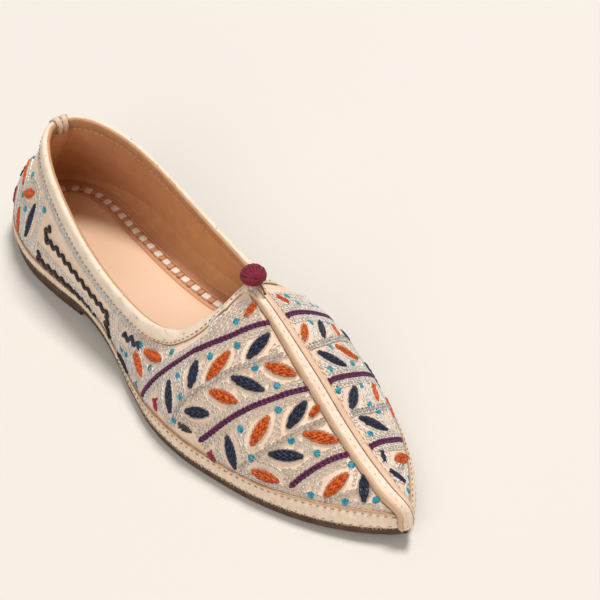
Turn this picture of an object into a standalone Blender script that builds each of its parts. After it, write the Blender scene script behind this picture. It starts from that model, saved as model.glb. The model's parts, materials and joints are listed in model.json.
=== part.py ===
"""A mojari: a flat leather slip-on shoe with a pointed toe, a raised throat and a yarn pompom.

Metres, +Z up, the toe towards -Y, the shoe standing on its low heel lift and its forefoot.
The upper is a shell drawn between the sole's outline and a top line, section by section.
"""
import math
from collections import namedtuple

import bmesh
import bpy
from mathutils import Vector
from mathutils.bvhtree import BVHTree

# Driving sizes
LENGTH = 0.250            # heel to toe along the sole
BALL_WIDTH = 0.082        # widest place of the sole
HEEL_HEIGHT = 0.0575      # floor to the top edge at the back of the heel
SIDE_HEIGHT = 0.0290      # floor to the lowest place of the top edge
INSTEP_HEIGHT = 0.0577    # floor to the raised point of the throat
TOE_HEIGHT = 0.0170       # floor to the ridge close to the toe
OUTSOLE = 0.0035          # leather outsole
HEEL_LIFT = 0.0035        # low lift under the heel
LIFT_INSET = 0.0006       # edge of the heel lift inside the edge of the outsole
TOE_SPRING = 0.0030       # rise of the outsole at the tip of the toe
WALL = 0.0018             # upper leather with its lining
BAND_WALL = 0.0012        # rand leather at its lower edge
BAND_SKIVED = 0.0005      # rand leather at its thinned top edge
BAND_GAP = 0.0005         # between the rand and the upper
BAND_HEIGHT = 0.0062      # rand, from the outsole up, at its highest
BAND_PROUD = 0.0001       # rand outside the edge of the outsole
BINDING_WALL = 0.0010     # folded leather over the top edge
BINDING_DEPTH = 0.0048    # how far the binding reaches down the wall
INSOLE_HEEL = 0.0045      # insole with its heel pad
INSOLE_TOE = 0.0024       # insole at the forefoot
STRIP_WALL = 0.0014       # leather strips over the ridge
WIDE_STRIP = 0.0050
WIDE_START = 0.0031       # its width at the throat
NARROW_STRIP = 0.0029
NARROW_START = 0.0032
TOE_STRIP = 0.0036        # their greatest width over the toe
START_TAPER = 0.045       # length over which the strips come to their full width
POMPOM_RADIUS = 0.0048    # half its width
POMPOM_OVER = 0.62        # its height over its middle, as a share of that
POMPOM_UNDER = 0.30       # and under its middle, where it rests
POMPOM_AHEAD = 0.0012     # its middle in front of the raised edge
BINDING_TURN = 0.0014     # how far it reaches down inside, at the throat
FOLD = 0.0004             # depth at which its fold starts to bend over the edge
NARROWEST = 0.15          # keeps its inner face off the middle plane near the throat
NARROW_WALL = 0.50        # the same for the inner face of the upper
PEAK_GAP = 0.0011         # more of it at the throat, where the wall turns sharply
BINDING_GAP = 0.0004      # between the binding and the wall that it folds over
SEAM = 0.0004             # between the two strips
STRIP_START = 0.26        # start of the strips, in rows past the throat
FRONT_END = 0.08          # the strips stop this share of the toe's front above the outsole
FRONT_STEPS = 7
LEAD_IN = 0.012           # length over which the strips climb onto the rand
STEEPEST = 0.70           # limits how far a strip is lifted where the wall turns away from it
LOCKS = 60                # tufts of yarn on the pompom
LOCK_DEPTH = 0.10         # how deep the grooves between them are
TIE_RADIUS = 0.0004       # thread from the pompom to the seam of the strips
TIE_END = 0.0064          # where it ends, in front of the middle of the pompom
TIE_SLOPE = 0.62          # how far down the pompom's front it starts, as a share of its height
TIE_ROWS = 8
TIE_SIDES = 8
TAB_WIDTH = 0.0062        # thread-bound tab over the back of the binding
TAB_WALL = 0.0007
CLEARANCE = 0.0003        # between pieces that touch

SOLE_STATIONS = 60        # how finely the solids are drawn
BAND_STATIONS = 56
COLLAR_STATIONS = 36
VAMP_STATIONS = 20
WALL_LEVELS = 11
SEARCH_STATIONS = 80, 60, 30
RIDGE_STATIONS = 120
TOP_CROWDING = 1.5
FRAME_PASSES = 3
OUTLINE_STEP = 0.02       # rows stepped to both sides to find a direction
WALL_STEP = 0.01
PEAK_START, PEAK_END = 2.5, 0.8    # rows before the throat over which PEAK_GAP opens
RAY_START = 0.02          # height above the ridge from which the strips look for the wall
TAB_REACH = 0.86          # the tab reaches down this share of BINDING_DEPTH
CORE = 0.38               # the inside reaches this share of LENGTH to both sides of the middle

HALF = BALL_WIDTH / 2

# One row for each section, from the back of the heel to the tip of the toe.
# sole_y and top_y are shares of LENGTH, sole_x and top_x shares of HALF. heel, side, instep and
# toe mix the four named heights. swell and reach shape the wall, as shares of HALF: how far it
# leans out at the sole and at the top. rise and drop are shares of the height of the section.
# band is the height of the rand as a share of BAND_HEIGHT.
Section = namedtuple(
    "Section", "sole_y sole_x top_y top_x heel side instep toe swell rise reach drop band")
SECTIONS = [
    Section(0.000, 0.000, 0.107, 0.000, 1.00, 0.00, 0.00, 0.00, 0.050, 0.36, 0.05, 0.27, 0.40),
    Section(0.004, 0.165, 0.109, 0.095, 1.00, 0.00, 0.00, 0.00, 0.050, 0.36, 0.05, 0.27, 0.40),
    Section(0.018, 0.325, 0.119, 0.190, 0.99, 0.02, 0.00, 0.00, 0.050, 0.36, 0.05, 0.27, 0.40),
    Section(0.050, 0.482, 0.145, 0.320, 0.93, 0.10, 0.00, 0.00, 0.050, 0.36, 0.05, 0.27, 0.40),
    Section(0.100, 0.622, 0.185, 0.440, 0.83, 0.20, 0.00, 0.00, 0.045, 0.36, 0.04, 0.28, 0.40),
    Section(0.165, 0.706, 0.235, 0.530, 0.68, 0.34, 0.00, 0.00, 0.045, 0.37, 0.04, 0.28, 0.42),
    Section(0.240, 0.705, 0.300, 0.600, 0.44, 0.58, 0.00, 0.00, 0.035, 0.38, 0.04, 0.30, 0.42),
    Section(0.320, 0.668, 0.370, 0.638, 0.22, 0.80, 0.00, 0.00, 0.035, 0.40, 0.04, 0.30, 0.32),
    Section(0.390, 0.690, 0.440, 0.648, 0.07, 0.96, 0.00, 0.00, 0.035, 0.40, 0.05, 0.30, 0.26),
    Section(0.450, 0.765, 0.500, 0.634, 0.00, 1.00, 0.02, 0.00, 0.035, 0.42, 0.07, 0.30, 0.25),
    Section(0.500, 0.850, 0.545, 0.590, 0.00, 0.88, 0.10, 0.00, 0.030, 0.44, 0.10, 0.26, 0.28),
    Section(0.545, 0.922, 0.582, 0.510, 0.00, 0.66, 0.28, 0.00, 0.030, 0.45, 0.13, 0.22, 0.36),
    Section(0.580, 0.970, 0.607, 0.380, 0.00, 0.42, 0.52, 0.00, 0.030, 0.45, 0.17, 0.17, 0.52),
    Section(0.610, 0.992, 0.626, 0.200, 0.00, 0.20, 0.75, 0.00, 0.030, 0.45, 0.21, 0.11, 0.66),
    Section(0.640, 1.000, 0.641, 0.000, 0.00, 0.00, 1.00, 0.00, 0.030, 0.45, 0.25, 0.06, 0.74),
    Section(0.690, 0.975, 0.690, 0.000, 0.00, 0.00, 0.93, 0.00, 0.030, 0.46, 0.26, 0.06, 0.76),
    Section(0.745, 0.905, 0.745, 0.000, 0.00, 0.00, 0.61, 0.67, 0.030, 0.48, 0.27, 0.05, 0.76),
    Section(0.800, 0.815, 0.800, 0.000, 0.00, 0.00, 0.41, 0.89, 0.030, 0.50, 0.27, 0.05, 0.80),
    Section(0.855, 0.690, 0.855, 0.000, 0.00, 0.00, 0.22, 1.00, 0.030, 0.50, 0.25, 0.05, 0.88),
    Section(0.905, 0.535, 0.905, 0.000, 0.00, 0.00, 0.09, 1.04, 0.030, 0.50, 0.20, 0.05, 0.96),
    Section(0.948, 0.355, 0.947, 0.000, 0.00, 0.00, 0.02, 1.04, 0.030, 0.50, 0.13, 0.06, 1.00),
    Section(0.978, 0.195, 0.976, 0.000, 0.00, 0.00, 0.00, 1.00, 0.020, 0.50, 0.07, 0.10, 0.94),
    Section(0.994, 0.085, 0.992, 0.000, 0.00, 0.00, 0.00, 0.89, 0.010, 0.45, 0.03, 0.20, 0.84),
    Section(1.000, 0.000, 1.002, 0.000, 0.00, 0.00, 0.00, 0.76, 0.010, 0.40, 0.01, 0.30, 0.80),
]
LAST = len(SECTIONS) - 1
THROAT = max(k for k, row in enumerate(SECTIONS) if row.top_x > 0) + 1

# Where the sole leaves the heel lift, meets the floor again, and starts to rise at the toe
LIFT_END, TREAD_START, SPRING_START = 0.31, 0.47, 0.80


def hermite(values, t, even_start=False, odd_start=False, even_end=False, odd_end=False):
    """Smooth value at t, in rows, through a list of row values; ends may mirror."""
    n = len(values) - 1
    k = min(max(int(t), 0), n - 1)
    f = t - k

    def slope(i):
        if 0 < i < n:
            return (values[i + 1] - values[i - 1]) / 2
        if i == 0:
            if even_start:
                return 0.0
            return values[1] - values[0]
        if even_end:
            return 0.0
        return values[n] - values[n - 1]

    a, b = values[k], values[k + 1]
    ma, mb = slope(k), slope(k + 1)
    return ((2 * f ** 3 - 3 * f ** 2 + 1) * a + (f ** 3 - 2 * f ** 2 + f) * ma
            + (3 * f ** 2 - 2 * f ** 3) * b + (f ** 3 - f ** 2) * mb)


def column(name):
    return [getattr(row, name) for row in SECTIONS]


SOLE_X = [share * HALF for share in column("sole_x")]
SOLE_Y = [LENGTH * (0.5 - share) for share in column("sole_y")]
TOP_X = [share * HALF for share in column("top_x")]
TOP_Y = [LENGTH * (0.5 - share) for share in column("top_y")]
TOP_Z = [row.heel * HEEL_HEIGHT + row.side * SIDE_HEIGHT + row.instep * INSTEP_HEIGHT
         + row.toe * TOE_HEIGHT for row in SECTIONS]
SWELL, RISE = column("swell"), column("rise")
REACH, DROP = column("reach"), column("drop")
BAND = column("band")


def ease(value, start, end):
    """0 before start, 1 after end, smooth between."""
    f = min(max((value - start) / (end - start), 0.0), 1.0)
    return f * f * (3 - 2 * f)


def outsole_top(y):
    """Height of the outsole's upper face at a place along the shoe."""
    share = 0.5 - y / LENGTH
    lift = HEEL_LIFT * (1 - ease(share, LIFT_END, TREAD_START))
    spring = max(share - SPRING_START, 0.0) / (1 - SPRING_START)
    return OUTSOLE + lift + TOE_SPRING * spring ** 2


def outline(t):
    """Point of the sole's outline at row t and its outward direction, seen from above."""
    x = hermite(SOLE_X, t)
    y = hermite(SOLE_Y, t, even_start=True, even_end=True)
    before, after = max(t - OUTLINE_STEP, 0.0), min(t + OUTLINE_STEP, LAST)
    if t < OUTLINE_STEP:
        return Vector((x, y, 0)), Vector((0, 1, 0))
    if t > LAST - OUTLINE_STEP:
        return Vector((x, y, 0)), Vector((0, -1, 0))
    dx = hermite(SOLE_X, after) - hermite(SOLE_X, before)
    dy = (hermite(SOLE_Y, after, even_start=True, even_end=True)
          - hermite(SOLE_Y, before, even_start=True, even_end=True))
    return Vector((x, y, 0)), Vector((-dy, dx, 0)).normalized()


def top_value(values, t, even_start=False):
    """Value of the top line, which has a corner at the throat."""
    if t <= THROAT:
        return hermite(values[:THROAT + 1], t, even_start=even_start)
    return hermite(values[THROAT:], t - THROAT)


def section(t):
    """The four control points of the wall's curve at row t, on the +X side."""
    edge, out = outline(t)
    inset = BAND_WALL + CLEARANCE - BAND_PROUD
    low = edge - out * inset
    low.x = max(low.x, 0.0)
    low.z = outsole_top(low.y) + CLEARANCE
    top = Vector((max(top_value(TOP_X, t), 0.0), top_value(TOP_Y, t, True), top_value(TOP_Z, t, True)))
    height = top.z - low.z
    ridge = ease(t, THROAT - 4, THROAT)
    side = out.lerp(Vector((1, 0, 0)), ridge) if t < LAST - 1 else Vector((1, 0, 0)).lerp(out, t - LAST + 1)
    side = side.normalized()
    swell, rise = hermite(SWELL, t) * HALF, hermite(RISE, t)
    reach, drop = hermite(REACH, t) * HALF, hermite(DROP, t)
    low_handle = low + out * swell + Vector((0, 0, rise * height))
    top_handle = top + side * reach - Vector((0, 0, drop * height))
    if t <= 0 or t >= LAST:
        low_handle.x = 0.0
        top_handle.x = 0.0
    return low, low_handle, top_handle, top


def on_curve(points, v):
    a, b, c, d = points
    w = 1 - v
    return a * w ** 3 + b * 3 * w * w * v + c * 3 * w * v * v + d * v ** 3


def wall(t, v):
    """Point of the upper's outer face at row t, v from the sole (0) to the top line (1)."""
    return on_curve(section(t), v)


def wall_out(t, v):
    """Outward direction of the upper's outer face."""
    t0, t1 = max(t - WALL_STEP, 0.0), min(t + WALL_STEP, LAST)
    v0, v1 = max(v - WALL_STEP, 0.0), min(v + WALL_STEP, 1.0)
    if t <= THROAT < t1 and v > 0.5:
        t1 = THROAT
    if t > THROAT > t0 and v > 0.5:
        t0 = THROAT
    along = wall(t1, v) - wall(t0, v)
    up = wall(t, v1) - wall(t, v0)
    normal = along.cross(up)
    if t <= 0 or t >= LAST:
        normal.x = 0.0
    if normal.length < 1e-12:
        normal = outline(t)[1]
    normal.normalize()
    return -normal if normal.dot(outline(t)[1] + Vector((0, 0, 0.5))) < 0 else normal


def place(t, depth=None, height=None, out=0.0):
    """Point measured down from the top line or up from the sole along the wall, moved outwards."""
    points = section(t)
    steps = 40
    wanted = depth if depth is not None else height
    down = depth is not None
    last = on_curve(points, 1.0 if down else 0.0)
    if wanted < 0:
        v = 1.0 if down else 0.0
        toward = on_curve(points, 0.98 if down else 0.02) - last
        return last + toward.normalized() * wanted + wall_out(t, v) * out
    gone = 0.0
    for k in range(1, steps + 1):
        v = 1 - k / steps if down else k / steps
        point = on_curve(points, v)
        piece = (point - last).length
        if gone + piece >= wanted:
            f = (wanted - gone) / piece if piece else 0.0
            v += (1 - f) / steps if down else -(1 - f) / steps
            return on_curve(points, v) + wall_out(t, v) * out
        gone += piece
        last = point
    return last + wall_out(t, 0.0 if down else 1.0) * out


def rows(start, end, count):
    return [start + (end - start) * k / (count - 1) for k in range(count)]


def mirrored(point):
    return Vector((-point.x, point.y, point.z))


def new_object(name, mesh, colour, roughness, metallic=0.0, smooth=True):
    material = bpy.data.materials.new(name)
    material.use_nodes = True
    shader = material.node_tree.nodes["Principled BSDF"]
    shader.inputs["Base Color"].default_value = (*colour, 1)
    shader.inputs["Roughness"].default_value = roughness
    shader.inputs["Metallic"].default_value = metallic
    mesh.materials.append(material)
    for polygon in mesh.polygons:
        polygon.use_smooth = smooth
    item = bpy.data.objects.new(name, mesh)
    bpy.context.collection.objects.link(item)
    return item


def finished(bm, name):
    """Mesh with no doubled points, its faces looking outwards."""
    bmesh.ops.remove_doubles(bm, verts=bm.verts, dist=0.00002)
    bmesh.ops.dissolve_degenerate(bm, edges=bm.edges, dist=0.000005)
    bmesh.ops.recalc_face_normals(bm, faces=bm.faces)
    mesh = bpy.data.meshes.new(name)
    bm.to_mesh(mesh)
    bm.free()
    return mesh


def skin(bm, rings, closed_ring=False, closed_row=False):
    """Quads between rings of points; rings and rows may close on themselves."""
    made = [[bm.verts.new(point) for point in ring] for ring in rings]
    count = len(made)
    for k in range(count if closed_row else count - 1):
        here, there = made[k], made[(k + 1) % count]
        size = len(here)
        for j in range(size if closed_ring else size - 1):
            corners = (here[j], here[(j + 1) % size], there[(j + 1) % size], there[j])
            bm.faces.new(corners)
    return made


def both_sides(points):
    """A ring round the shoe: the +X side from heel to toe, then the -X side back to the heel."""
    return points + [mirrored(point) for point in reversed(points[1:-1])]


def outline_ring(count, inset, height):
    """Closed ring at a distance inside the sole's outline, with a height for each place."""
    points = []
    for t in rows(0, LAST, count):
        edge, out = outline(t)
        point = edge - out * inset
        point.x = max(point.x, 0.0)
        points.append(point)
    tip = points[-1]
    points = [point for point in points[:-1] if point.y > tip.y + 0.0004] + [tip]
    for point in points:
        point.z = height(point.y)
    points[0].x = 0.0
    tip.x = 0.0
    return both_sides(points)


def slab(name, count, inset, low, high, colour, roughness, end=None):
    """Flat piece between two heights along the outline, ended square across where end is given."""
    bm = bmesh.new()
    ring_low = outline_ring(count, inset, low)
    ring_high = outline_ring(count, inset, high)
    half = len(ring_low) // 2
    size = len(ring_low)
    strips = []
    for k in range(half + 1):
        right_low, left_low = ring_low[k], ring_low[-k % size]
        right_high, left_high = ring_high[k], ring_high[-k % size]
        if end is not None and right_low.y < end:
            break
        strips.append((right_low, left_low, left_high, right_high))
    if end is not None:
        edge = [Vector(point) for point in strips[-1]]
        for point, level in zip(edge, (low, low, high, high)):
            point.y = end
            point.z = level(end)
        strips.append(tuple(edge))
    rings = [[bm.verts.new(point) for point in strip] for strip in strips]
    for here, there in zip(rings, rings[1:]):
        for j in range(4):
            bm.faces.new((here[j], here[(j + 1) % 4], there[(j + 1) % 4], there[j]))
    bm.faces.new(rings[-1])
    bm.faces.new(rings[0])
    return new_object(name, finished(bm, name), colour, roughness)


def outsole():
    return slab("outsole", SOLE_STATIONS, 0.0, lambda y: outsole_top(y) - OUTSOLE, outsole_top,
                (0.22, 0.13, 0.08), 0.75)


def heel_lift():
    end = LENGTH * (0.5 - LIFT_END)
    return slab("heel_lift", SOLE_STATIONS, LIFT_INSET, lambda y: 0.0, lambda y: HEEL_LIFT - CLEARANCE,
                (0.16, 0.10, 0.07), 0.8, end)


def insole():
    inset = BAND_WALL + CLEARANCE - BAND_PROUD + WALL + 2 * CLEARANCE

    def low(y):
        return outsole_top(y) + CLEARANCE

    def high(y):
        share = 0.5 - y / LENGTH
        thick = INSOLE_TOE + (INSOLE_HEEL - INSOLE_TOE) * (1 - ease(share, 0.25, 0.55))
        return low(y) + thick

    return slab("insole", SOLE_STATIONS, inset, low, high, (0.86, 0.62, 0.44), 0.6)


def upper_faces(collar_count, vamp_count, levels):
    """The upper's outer face, both sides, as a mesh that is open at the top line and the sole."""
    bm = bmesh.new()
    stations = rows(0, THROAT, collar_count) + rows(THROAT, LAST, vamp_count)[1:]
    heights = [1 - (1 - v) ** TOP_CROWDING for v in rows(0, 1, levels)]
    grid = [[wall(t, v) for v in heights] for t in stations]
    skin(bm, grid)
    skin(bm, [[mirrored(point) for point in line] for line in grid])
    bmesh.ops.remove_doubles(bm, verts=bm.verts, dist=0.00001)
    bmesh.ops.recalc_face_normals(bm, faces=bm.faces)
    side_face = max(bm.faces, key=lambda face: face.calc_center_median().x)
    if side_face.normal.x < 0:
        bmesh.ops.reverse_faces(bm, faces=bm.faces)
    return bm


def upper():
    """Hollow shell with a rim along the collar and another along the sole."""
    tree = fine_skin()
    collar = collar_frames(tree)
    stations = rows(0, THROAT, COLLAR_STATIONS) + rows(THROAT, LAST, VAMP_STATIONS)[1:]
    levels = [1 - (1 - v) ** TOP_CROWDING for v in rows(0, 1, WALL_LEVELS)]
    bm = bmesh.new()
    for side in (1, -1):
        outer, inner = [], []
        for k, t in enumerate(stations):
            faces = [wall(t, v) for v in levels]
            outs = [skin_out(tree, point) for point in faces]
            if k < len(collar):
                outs[-1] = collar[k][2]
            backs = [inside_point(point, out, WALL) for point, out in zip(faces, outs)]
            outer.append([bm.verts.new((side * p.x, p.y, p.z)) for p in faces])
            inner.append([bm.verts.new((side * p.x, p.y, p.z)) for p in backs])
        for k in range(len(stations) - 1):
            for j in range(len(levels) - 1):
                bm.faces.new((outer[k][j], outer[k][j + 1], outer[k + 1][j + 1], outer[k + 1][j]))
                bm.faces.new((inner[k][j], inner[k + 1][j], inner[k + 1][j + 1], inner[k][j + 1]))
            bm.faces.new((outer[k][0], outer[k + 1][0], inner[k + 1][0], inner[k][0]))
            if k < len(collar) - 1:
                bm.faces.new((outer[k][-1], inner[k][-1], inner[k + 1][-1], outer[k + 1][-1]))
    return new_object("upper", finished(bm, "upper"), (0.78, 0.63, 0.47), 0.6)


def inside_point(point, out, depth):
    """Point behind the outer face, kept on its own side of the middle plane."""
    placed = point - out * depth
    placed.x = max(placed.x, point.x * NARROW_WALL)
    return placed


def rand_band():
    """Leather band round the foot of the upper; its ends meet under the strips at the toe."""
    bm = bmesh.new()
    thin = BAND_SKIVED / BAND_WALL
    profile = ((0, 0), (0, 0.5), (0, 1), (thin, 1), ((1 + thin) / 2, 0.8), (1, 0.45), (1, 0))
    points = []
    for t in rows(0, LAST, BAND_STATIONS):
        edge, out = outline(t)
        ring = []
        for across, up in profile:
            height = CLEARANCE + up * BAND_HEIGHT * hermite(BAND, t)
            inner = place(t, height=height, out=BAND_GAP)
            point = place(t, height=height, out=BAND_GAP + across * BAND_WALL)
            point.z = max(inner.z, outsole_top(point.y) + CLEARANCE)
            if t in (0, LAST):
                point.x = 0.0
            ring.append(point)
        points.append(ring)
    rings = points + [[mirrored(point) for point in ring] for ring in reversed(points[1:-1])]
    skin(bm, rings, closed_ring=True, closed_row=True)
    return new_object("rand_band", finished(bm, "rand_band"), (0.80, 0.66, 0.50), 0.6)


def fine_skin():
    """Search tree over a fine copy of the upper's outer face."""
    bm = upper_faces(*SEARCH_STATIONS)
    tree = BVHTree.FromBMesh(bm)
    bm.free()
    return tree


def collar_frames(tree):
    """For each station of the top line: its point, the way down along the wall, and the way out."""
    points = [wall(t, 1.0) for t in rows(0, THROAT, COLLAR_STATIONS)]
    last = len(points) - 1
    downs, outs = [], []
    for k, point in enumerate(points):
        before = points[k - 1] if k else mirrored(points[1])
        after = points[k + 1] if k < last else mirrored(points[-2])
        out = skin_out(tree, point)
        down = (after - before).cross(out).normalized()
        same_way = downs[-1] if downs else Vector((0, 0, -1))
        downs.append(-down if down.dot(same_way) < 0 else down)
        outs.append(out)
    for passes in range(FRAME_PASSES):
        downs = [evened(downs, k) for k in range(last + 1)]
        outs = [evened(outs, k) for k in range(last + 1)]
    return list(zip(points, downs, outs))


def evened(directions, k):
    """Direction averaged with its neighbours, the far side's at both ends."""
    before = directions[k - 1] if k else mirrored(directions[1])
    after = directions[k + 1] if k < len(directions) - 1 else mirrored(directions[-2])
    return (before + directions[k] * 2 + after).normalized()


def skin_out(tree, point):
    """Outward direction of the upper's outer face near a point."""
    normal = tree.find_nearest(point)[1].copy()
    if abs(point.x) < 0.0001:
        normal.x = 0.0
    core = Vector((0, min(max(point.y, -LENGTH * CORE), LENGTH * CORE), 0))
    if normal.dot(point - core) < 0:
        normal = -normal
    return normal.normalized()


def collar_ring(tree, frame, profile):
    """Ring of points from distances down the wall and out of it, at one station of the collar."""
    point, down, facing = frame
    ring = []
    for depth, out in profile:
        if depth > 0:
            seat = tree.find_nearest(point + down * depth)[0].copy()
            turn = min(depth / BINDING_DEPTH, 1.0)
            facing_here = facing.lerp(skin_out(tree, seat), turn).normalized()
        else:
            seat = point + down * depth
            facing_here = facing
        if abs(point.x) < 0.0001:
            seat.x = 0.0
        placed = seat + facing_here * out
        placed.x = max(placed.x, seat.x * NARROWEST)
        ring.append(placed)
    return ring


def binding():
    """Folded strip over the top edge, open below, round the whole collar."""
    tree = fine_skin()
    stations = rows(0, THROAT, COLLAR_STATIONS)
    points = []
    for t, frame in zip(stations, collar_frames(tree)):
        inside = BINDING_DEPTH + (BINDING_TURN - BINDING_DEPTH) * ease(t, THROAT - 4, THROAT - 2)
        gap = BINDING_GAP + PEAK_GAP * ease(t, THROAT - PEAK_START, THROAT - PEAK_END)
        over, inner = gap + BINDING_WALL, -WALL - gap
        profile = ((BINDING_DEPTH, gap), (BINDING_DEPTH, over), (BINDING_DEPTH / 2, over), (FOLD, over),
                   (-over, 0.0), (-over, -WALL), (FOLD, inner - BINDING_WALL),
                   (inside / 2, inner - BINDING_WALL), (inside, inner - BINDING_WALL),
                   (inside, inner), (inside / 2, inner), (-gap, inner), (-gap, gap),
                   (BINDING_DEPTH / 2, gap))
        points.append(collar_ring(tree, frame, profile))
    rings = points + [[mirrored(point) for point in ring] for ring in reversed(points[1:-1])]
    bm = bmesh.new()
    skin(bm, rings, closed_ring=True, closed_row=True)
    return new_object("binding", finished(bm, "binding"), (0.83, 0.70, 0.55), 0.55)


def ridge_path(count):
    """Points down the middle: along the ridge from the throat, then down the front of the toe."""
    ridge = [wall(t, 1.0) for t in rows(THROAT + STRIP_START, LAST, count)]
    front = [wall(LAST, v) for v in rows(1.0, FRONT_END, FRONT_STEPS + 1)[1:]]
    return ridge + front


def ridge_strip(name, near, start_width, far, side):
    """Leather strip laid over the ridge and the toe, between two distances from the middle."""
    skin_tree = fine_skin()
    path = ridge_path(40)
    lengths = [0.0]
    for here, there in zip(path, path[1:]):
        lengths.append(lengths[-1] + (there - here).length)
    toe = lengths[-1] - lengths[-1 - FRONT_STEPS]
    bm = bmesh.new()
    rings = []
    for k, point in enumerate(path):
        ahead = path[min(k + 1, len(path) - 1)] - path[max(k - 1, 0)]
        normal = Vector((0, ahead.z, -ahead.y)).normalized()
        if normal.dot(Vector((0, -0.5, 1))) < 0:
            normal = -normal
        left = lengths[-1] - lengths[k]
        over_band = (BAND_WALL + BAND_GAP + CLEARANCE) * (1 - ease(left, toe, toe + LEAD_IN))
        low, high = [], []
        edge = start_width + (far - start_width) * ease(lengths[k], 0.0, START_TAPER)
        edge += (min(far, TOE_STRIP) - far) * (1 - ease(left, toe, toe + LEAD_IN))
        for share in (0.0, 0.34, 0.67, 1.0):
            across = side * (near + (edge - near) * share)
            start = point + normal * RAY_START + Vector((across, 0, 0))
            hit, facing = skin_tree.ray_cast(start, -normal)[:2]
            if hit is None:
                hit, facing = skin_tree.find_nearest(point + Vector((across, 0, 0)))[:2]
            lean = max(abs(facing.dot(normal)), STEEPEST)
            lift = CLEARANCE + over_band / lean
            low.append(hit + normal * lift)
            high.append(hit + normal * (lift + STRIP_WALL))
        rings.append(low + list(reversed(high)))
    made = skin(bm, rings, closed_ring=True)
    bm.faces.new(made[0])
    bm.faces.new(made[-1])
    return new_object(name, finished(bm, name), (0.84, 0.72, 0.57), 0.55)


def pompom():
    """Ball of cut yarn: short rounded locks, all one closed solid."""
    middle = pompom_middle()
    locks = []
    for k in range(LOCKS):
        height = 1 - 2 * (k + 0.5) / LOCKS
        around = k * math.pi * (3 - math.sqrt(5))
        flat = math.sqrt(1 - height * height)
        locks.append(Vector((flat * math.cos(around), flat * math.sin(around), height)))
    bm = bmesh.new()
    bmesh.ops.create_icosphere(bm, subdivisions=3, radius=1.0)
    for vert in bm.verts:
        nearest = max(vert.co.normalized().dot(lock) for lock in locks)
        bump = ease(nearest, 0.93, 1.0)
        lock = vert.co.normalized() * POMPOM_RADIUS * (1 - LOCK_DEPTH + LOCK_DEPTH * bump)
        lock.z *= POMPOM_OVER if lock.z > 0 else POMPOM_UNDER
        vert.co = middle + lock
    return new_object("pompom", finished(bm, "pompom"), (0.50, 0.08, 0.17), 0.9)


def pompom_middle():
    """Middle of the pompom, resting on the raised edge of the binding and on the strips."""
    edge = wall(THROAT, 1.0)
    rest = BINDING_WALL + BINDING_GAP + PEAK_GAP + CLEARANCE
    return Vector((0, edge.y - POMPOM_AHEAD, edge.z + rest + POMPOM_RADIUS * POMPOM_UNDER))


def pompom_tie():
    """Thread from the front of the pompom down to the seam between the strips."""
    middle = pompom_middle()
    away = CLEARANCE + TIE_RADIUS
    front = math.sqrt(1 - TIE_SLOPE ** 2)
    start = middle + Vector((0, -front * (POMPOM_RADIUS + away), -TIE_SLOPE * POMPOM_RADIUS * POMPOM_UNDER))
    start.z -= TIE_SLOPE * away
    end = Vector((0, middle.y - TIE_END, 0))
    end.z = ridge_height(end.y) + CLEARANCE + STRIP_WALL + away
    bm = bmesh.new()
    rings = []
    across = (end - start).cross(Vector((1, 0, 0))).normalized()
    for k in range(TIE_ROWS):
        point = start.lerp(end, k / (TIE_ROWS - 1))
        ring = []
        for j in range(TIE_SIDES):
            turn = 2 * math.pi * j / TIE_SIDES
            ring.append(point + (Vector((1, 0, 0)) * math.cos(turn) + across * math.sin(turn)) * TIE_RADIUS)
        rings.append(ring)
    made = skin(bm, rings, closed_ring=True)
    bm.faces.new(made[0])
    bm.faces.new(made[-1])
    return new_object("pompom_tie", finished(bm, "pompom_tie"), (0.45, 0.20, 0.14), 0.8)


def ridge_height(y):
    """Height of the upper's ridge at a place in front of the throat."""
    path = [wall(t, 1.0) for t in rows(THROAT, LAST - 1, RIDGE_STATIONS)]
    return min(path, key=lambda point: abs(point.y - y)).z


def back_tab():
    """Thread-bound tab over the binding at the middle of the heel."""
    under = CLEARANCE + BINDING_WALL + CLEARANCE
    over = under + TAB_WALL
    inner = -WALL
    depth = BINDING_DEPTH * TAB_REACH
    profile = ((depth, under), (depth, over), (0.0004, over), (-over, 0.0), (-over, inner),
               (0.0004, inner - over), (depth, inner - over), (depth, inner - under),
               (-0.0002, inner - under), (-under, inner), (-under, 0.0), (-0.0002, under))
    reach = rows_to_width(TAB_WIDTH / 2)
    points = [[place(t, depth=depth, out=out) for depth, out in profile] for t in rows(0, reach, 5)]
    for point in points[0]:
        point.x = 0.0
    rings = [[mirrored(point) for point in ring] for ring in reversed(points[1:])] + points
    bm = bmesh.new()
    made = skin(bm, rings, closed_ring=True)
    bm.faces.new(made[0])
    bm.faces.new(made[-1])
    return new_object("back_tab", finished(bm, "back_tab"), (0.82, 0.76, 0.66), 0.6)


def rows_to_width(width):
    """Row at which the top line has come this far from the middle."""
    t = 0.0
    while top_value(TOP_X, t) < width:
        t += WALL_STEP
    return t


def main():
    for item in list(bpy.data.objects):
        bpy.data.objects.remove(item)
    outsole()
    heel_lift()
    insole()
    upper()
    rand_band()
    binding()
    ridge_strip("spine_strip_wide", SEAM / 2, WIDE_START, WIDE_STRIP, -1)
    ridge_strip("spine_strip_narrow", SEAM / 2, NARROW_START, NARROW_STRIP, 1)
    pompom()
    pompom_tie()
    back_tab()


main()
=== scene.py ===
# %% [markdown]
# # An embroidered mojari, dressed over its solids
# A mojari is a flat slip-on shoe with a pointed toe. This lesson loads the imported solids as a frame,
# and lays the real leather, thread, stitches and yarn over them, piece by piece.
# Every piece takes its place from the same few sizes of the shoe, so the layers fit on each other.

# %% Load the frame
import bpy
import bmesh
import json
import math
import numpy as np
from mathutils import Matrix, Vector

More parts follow.
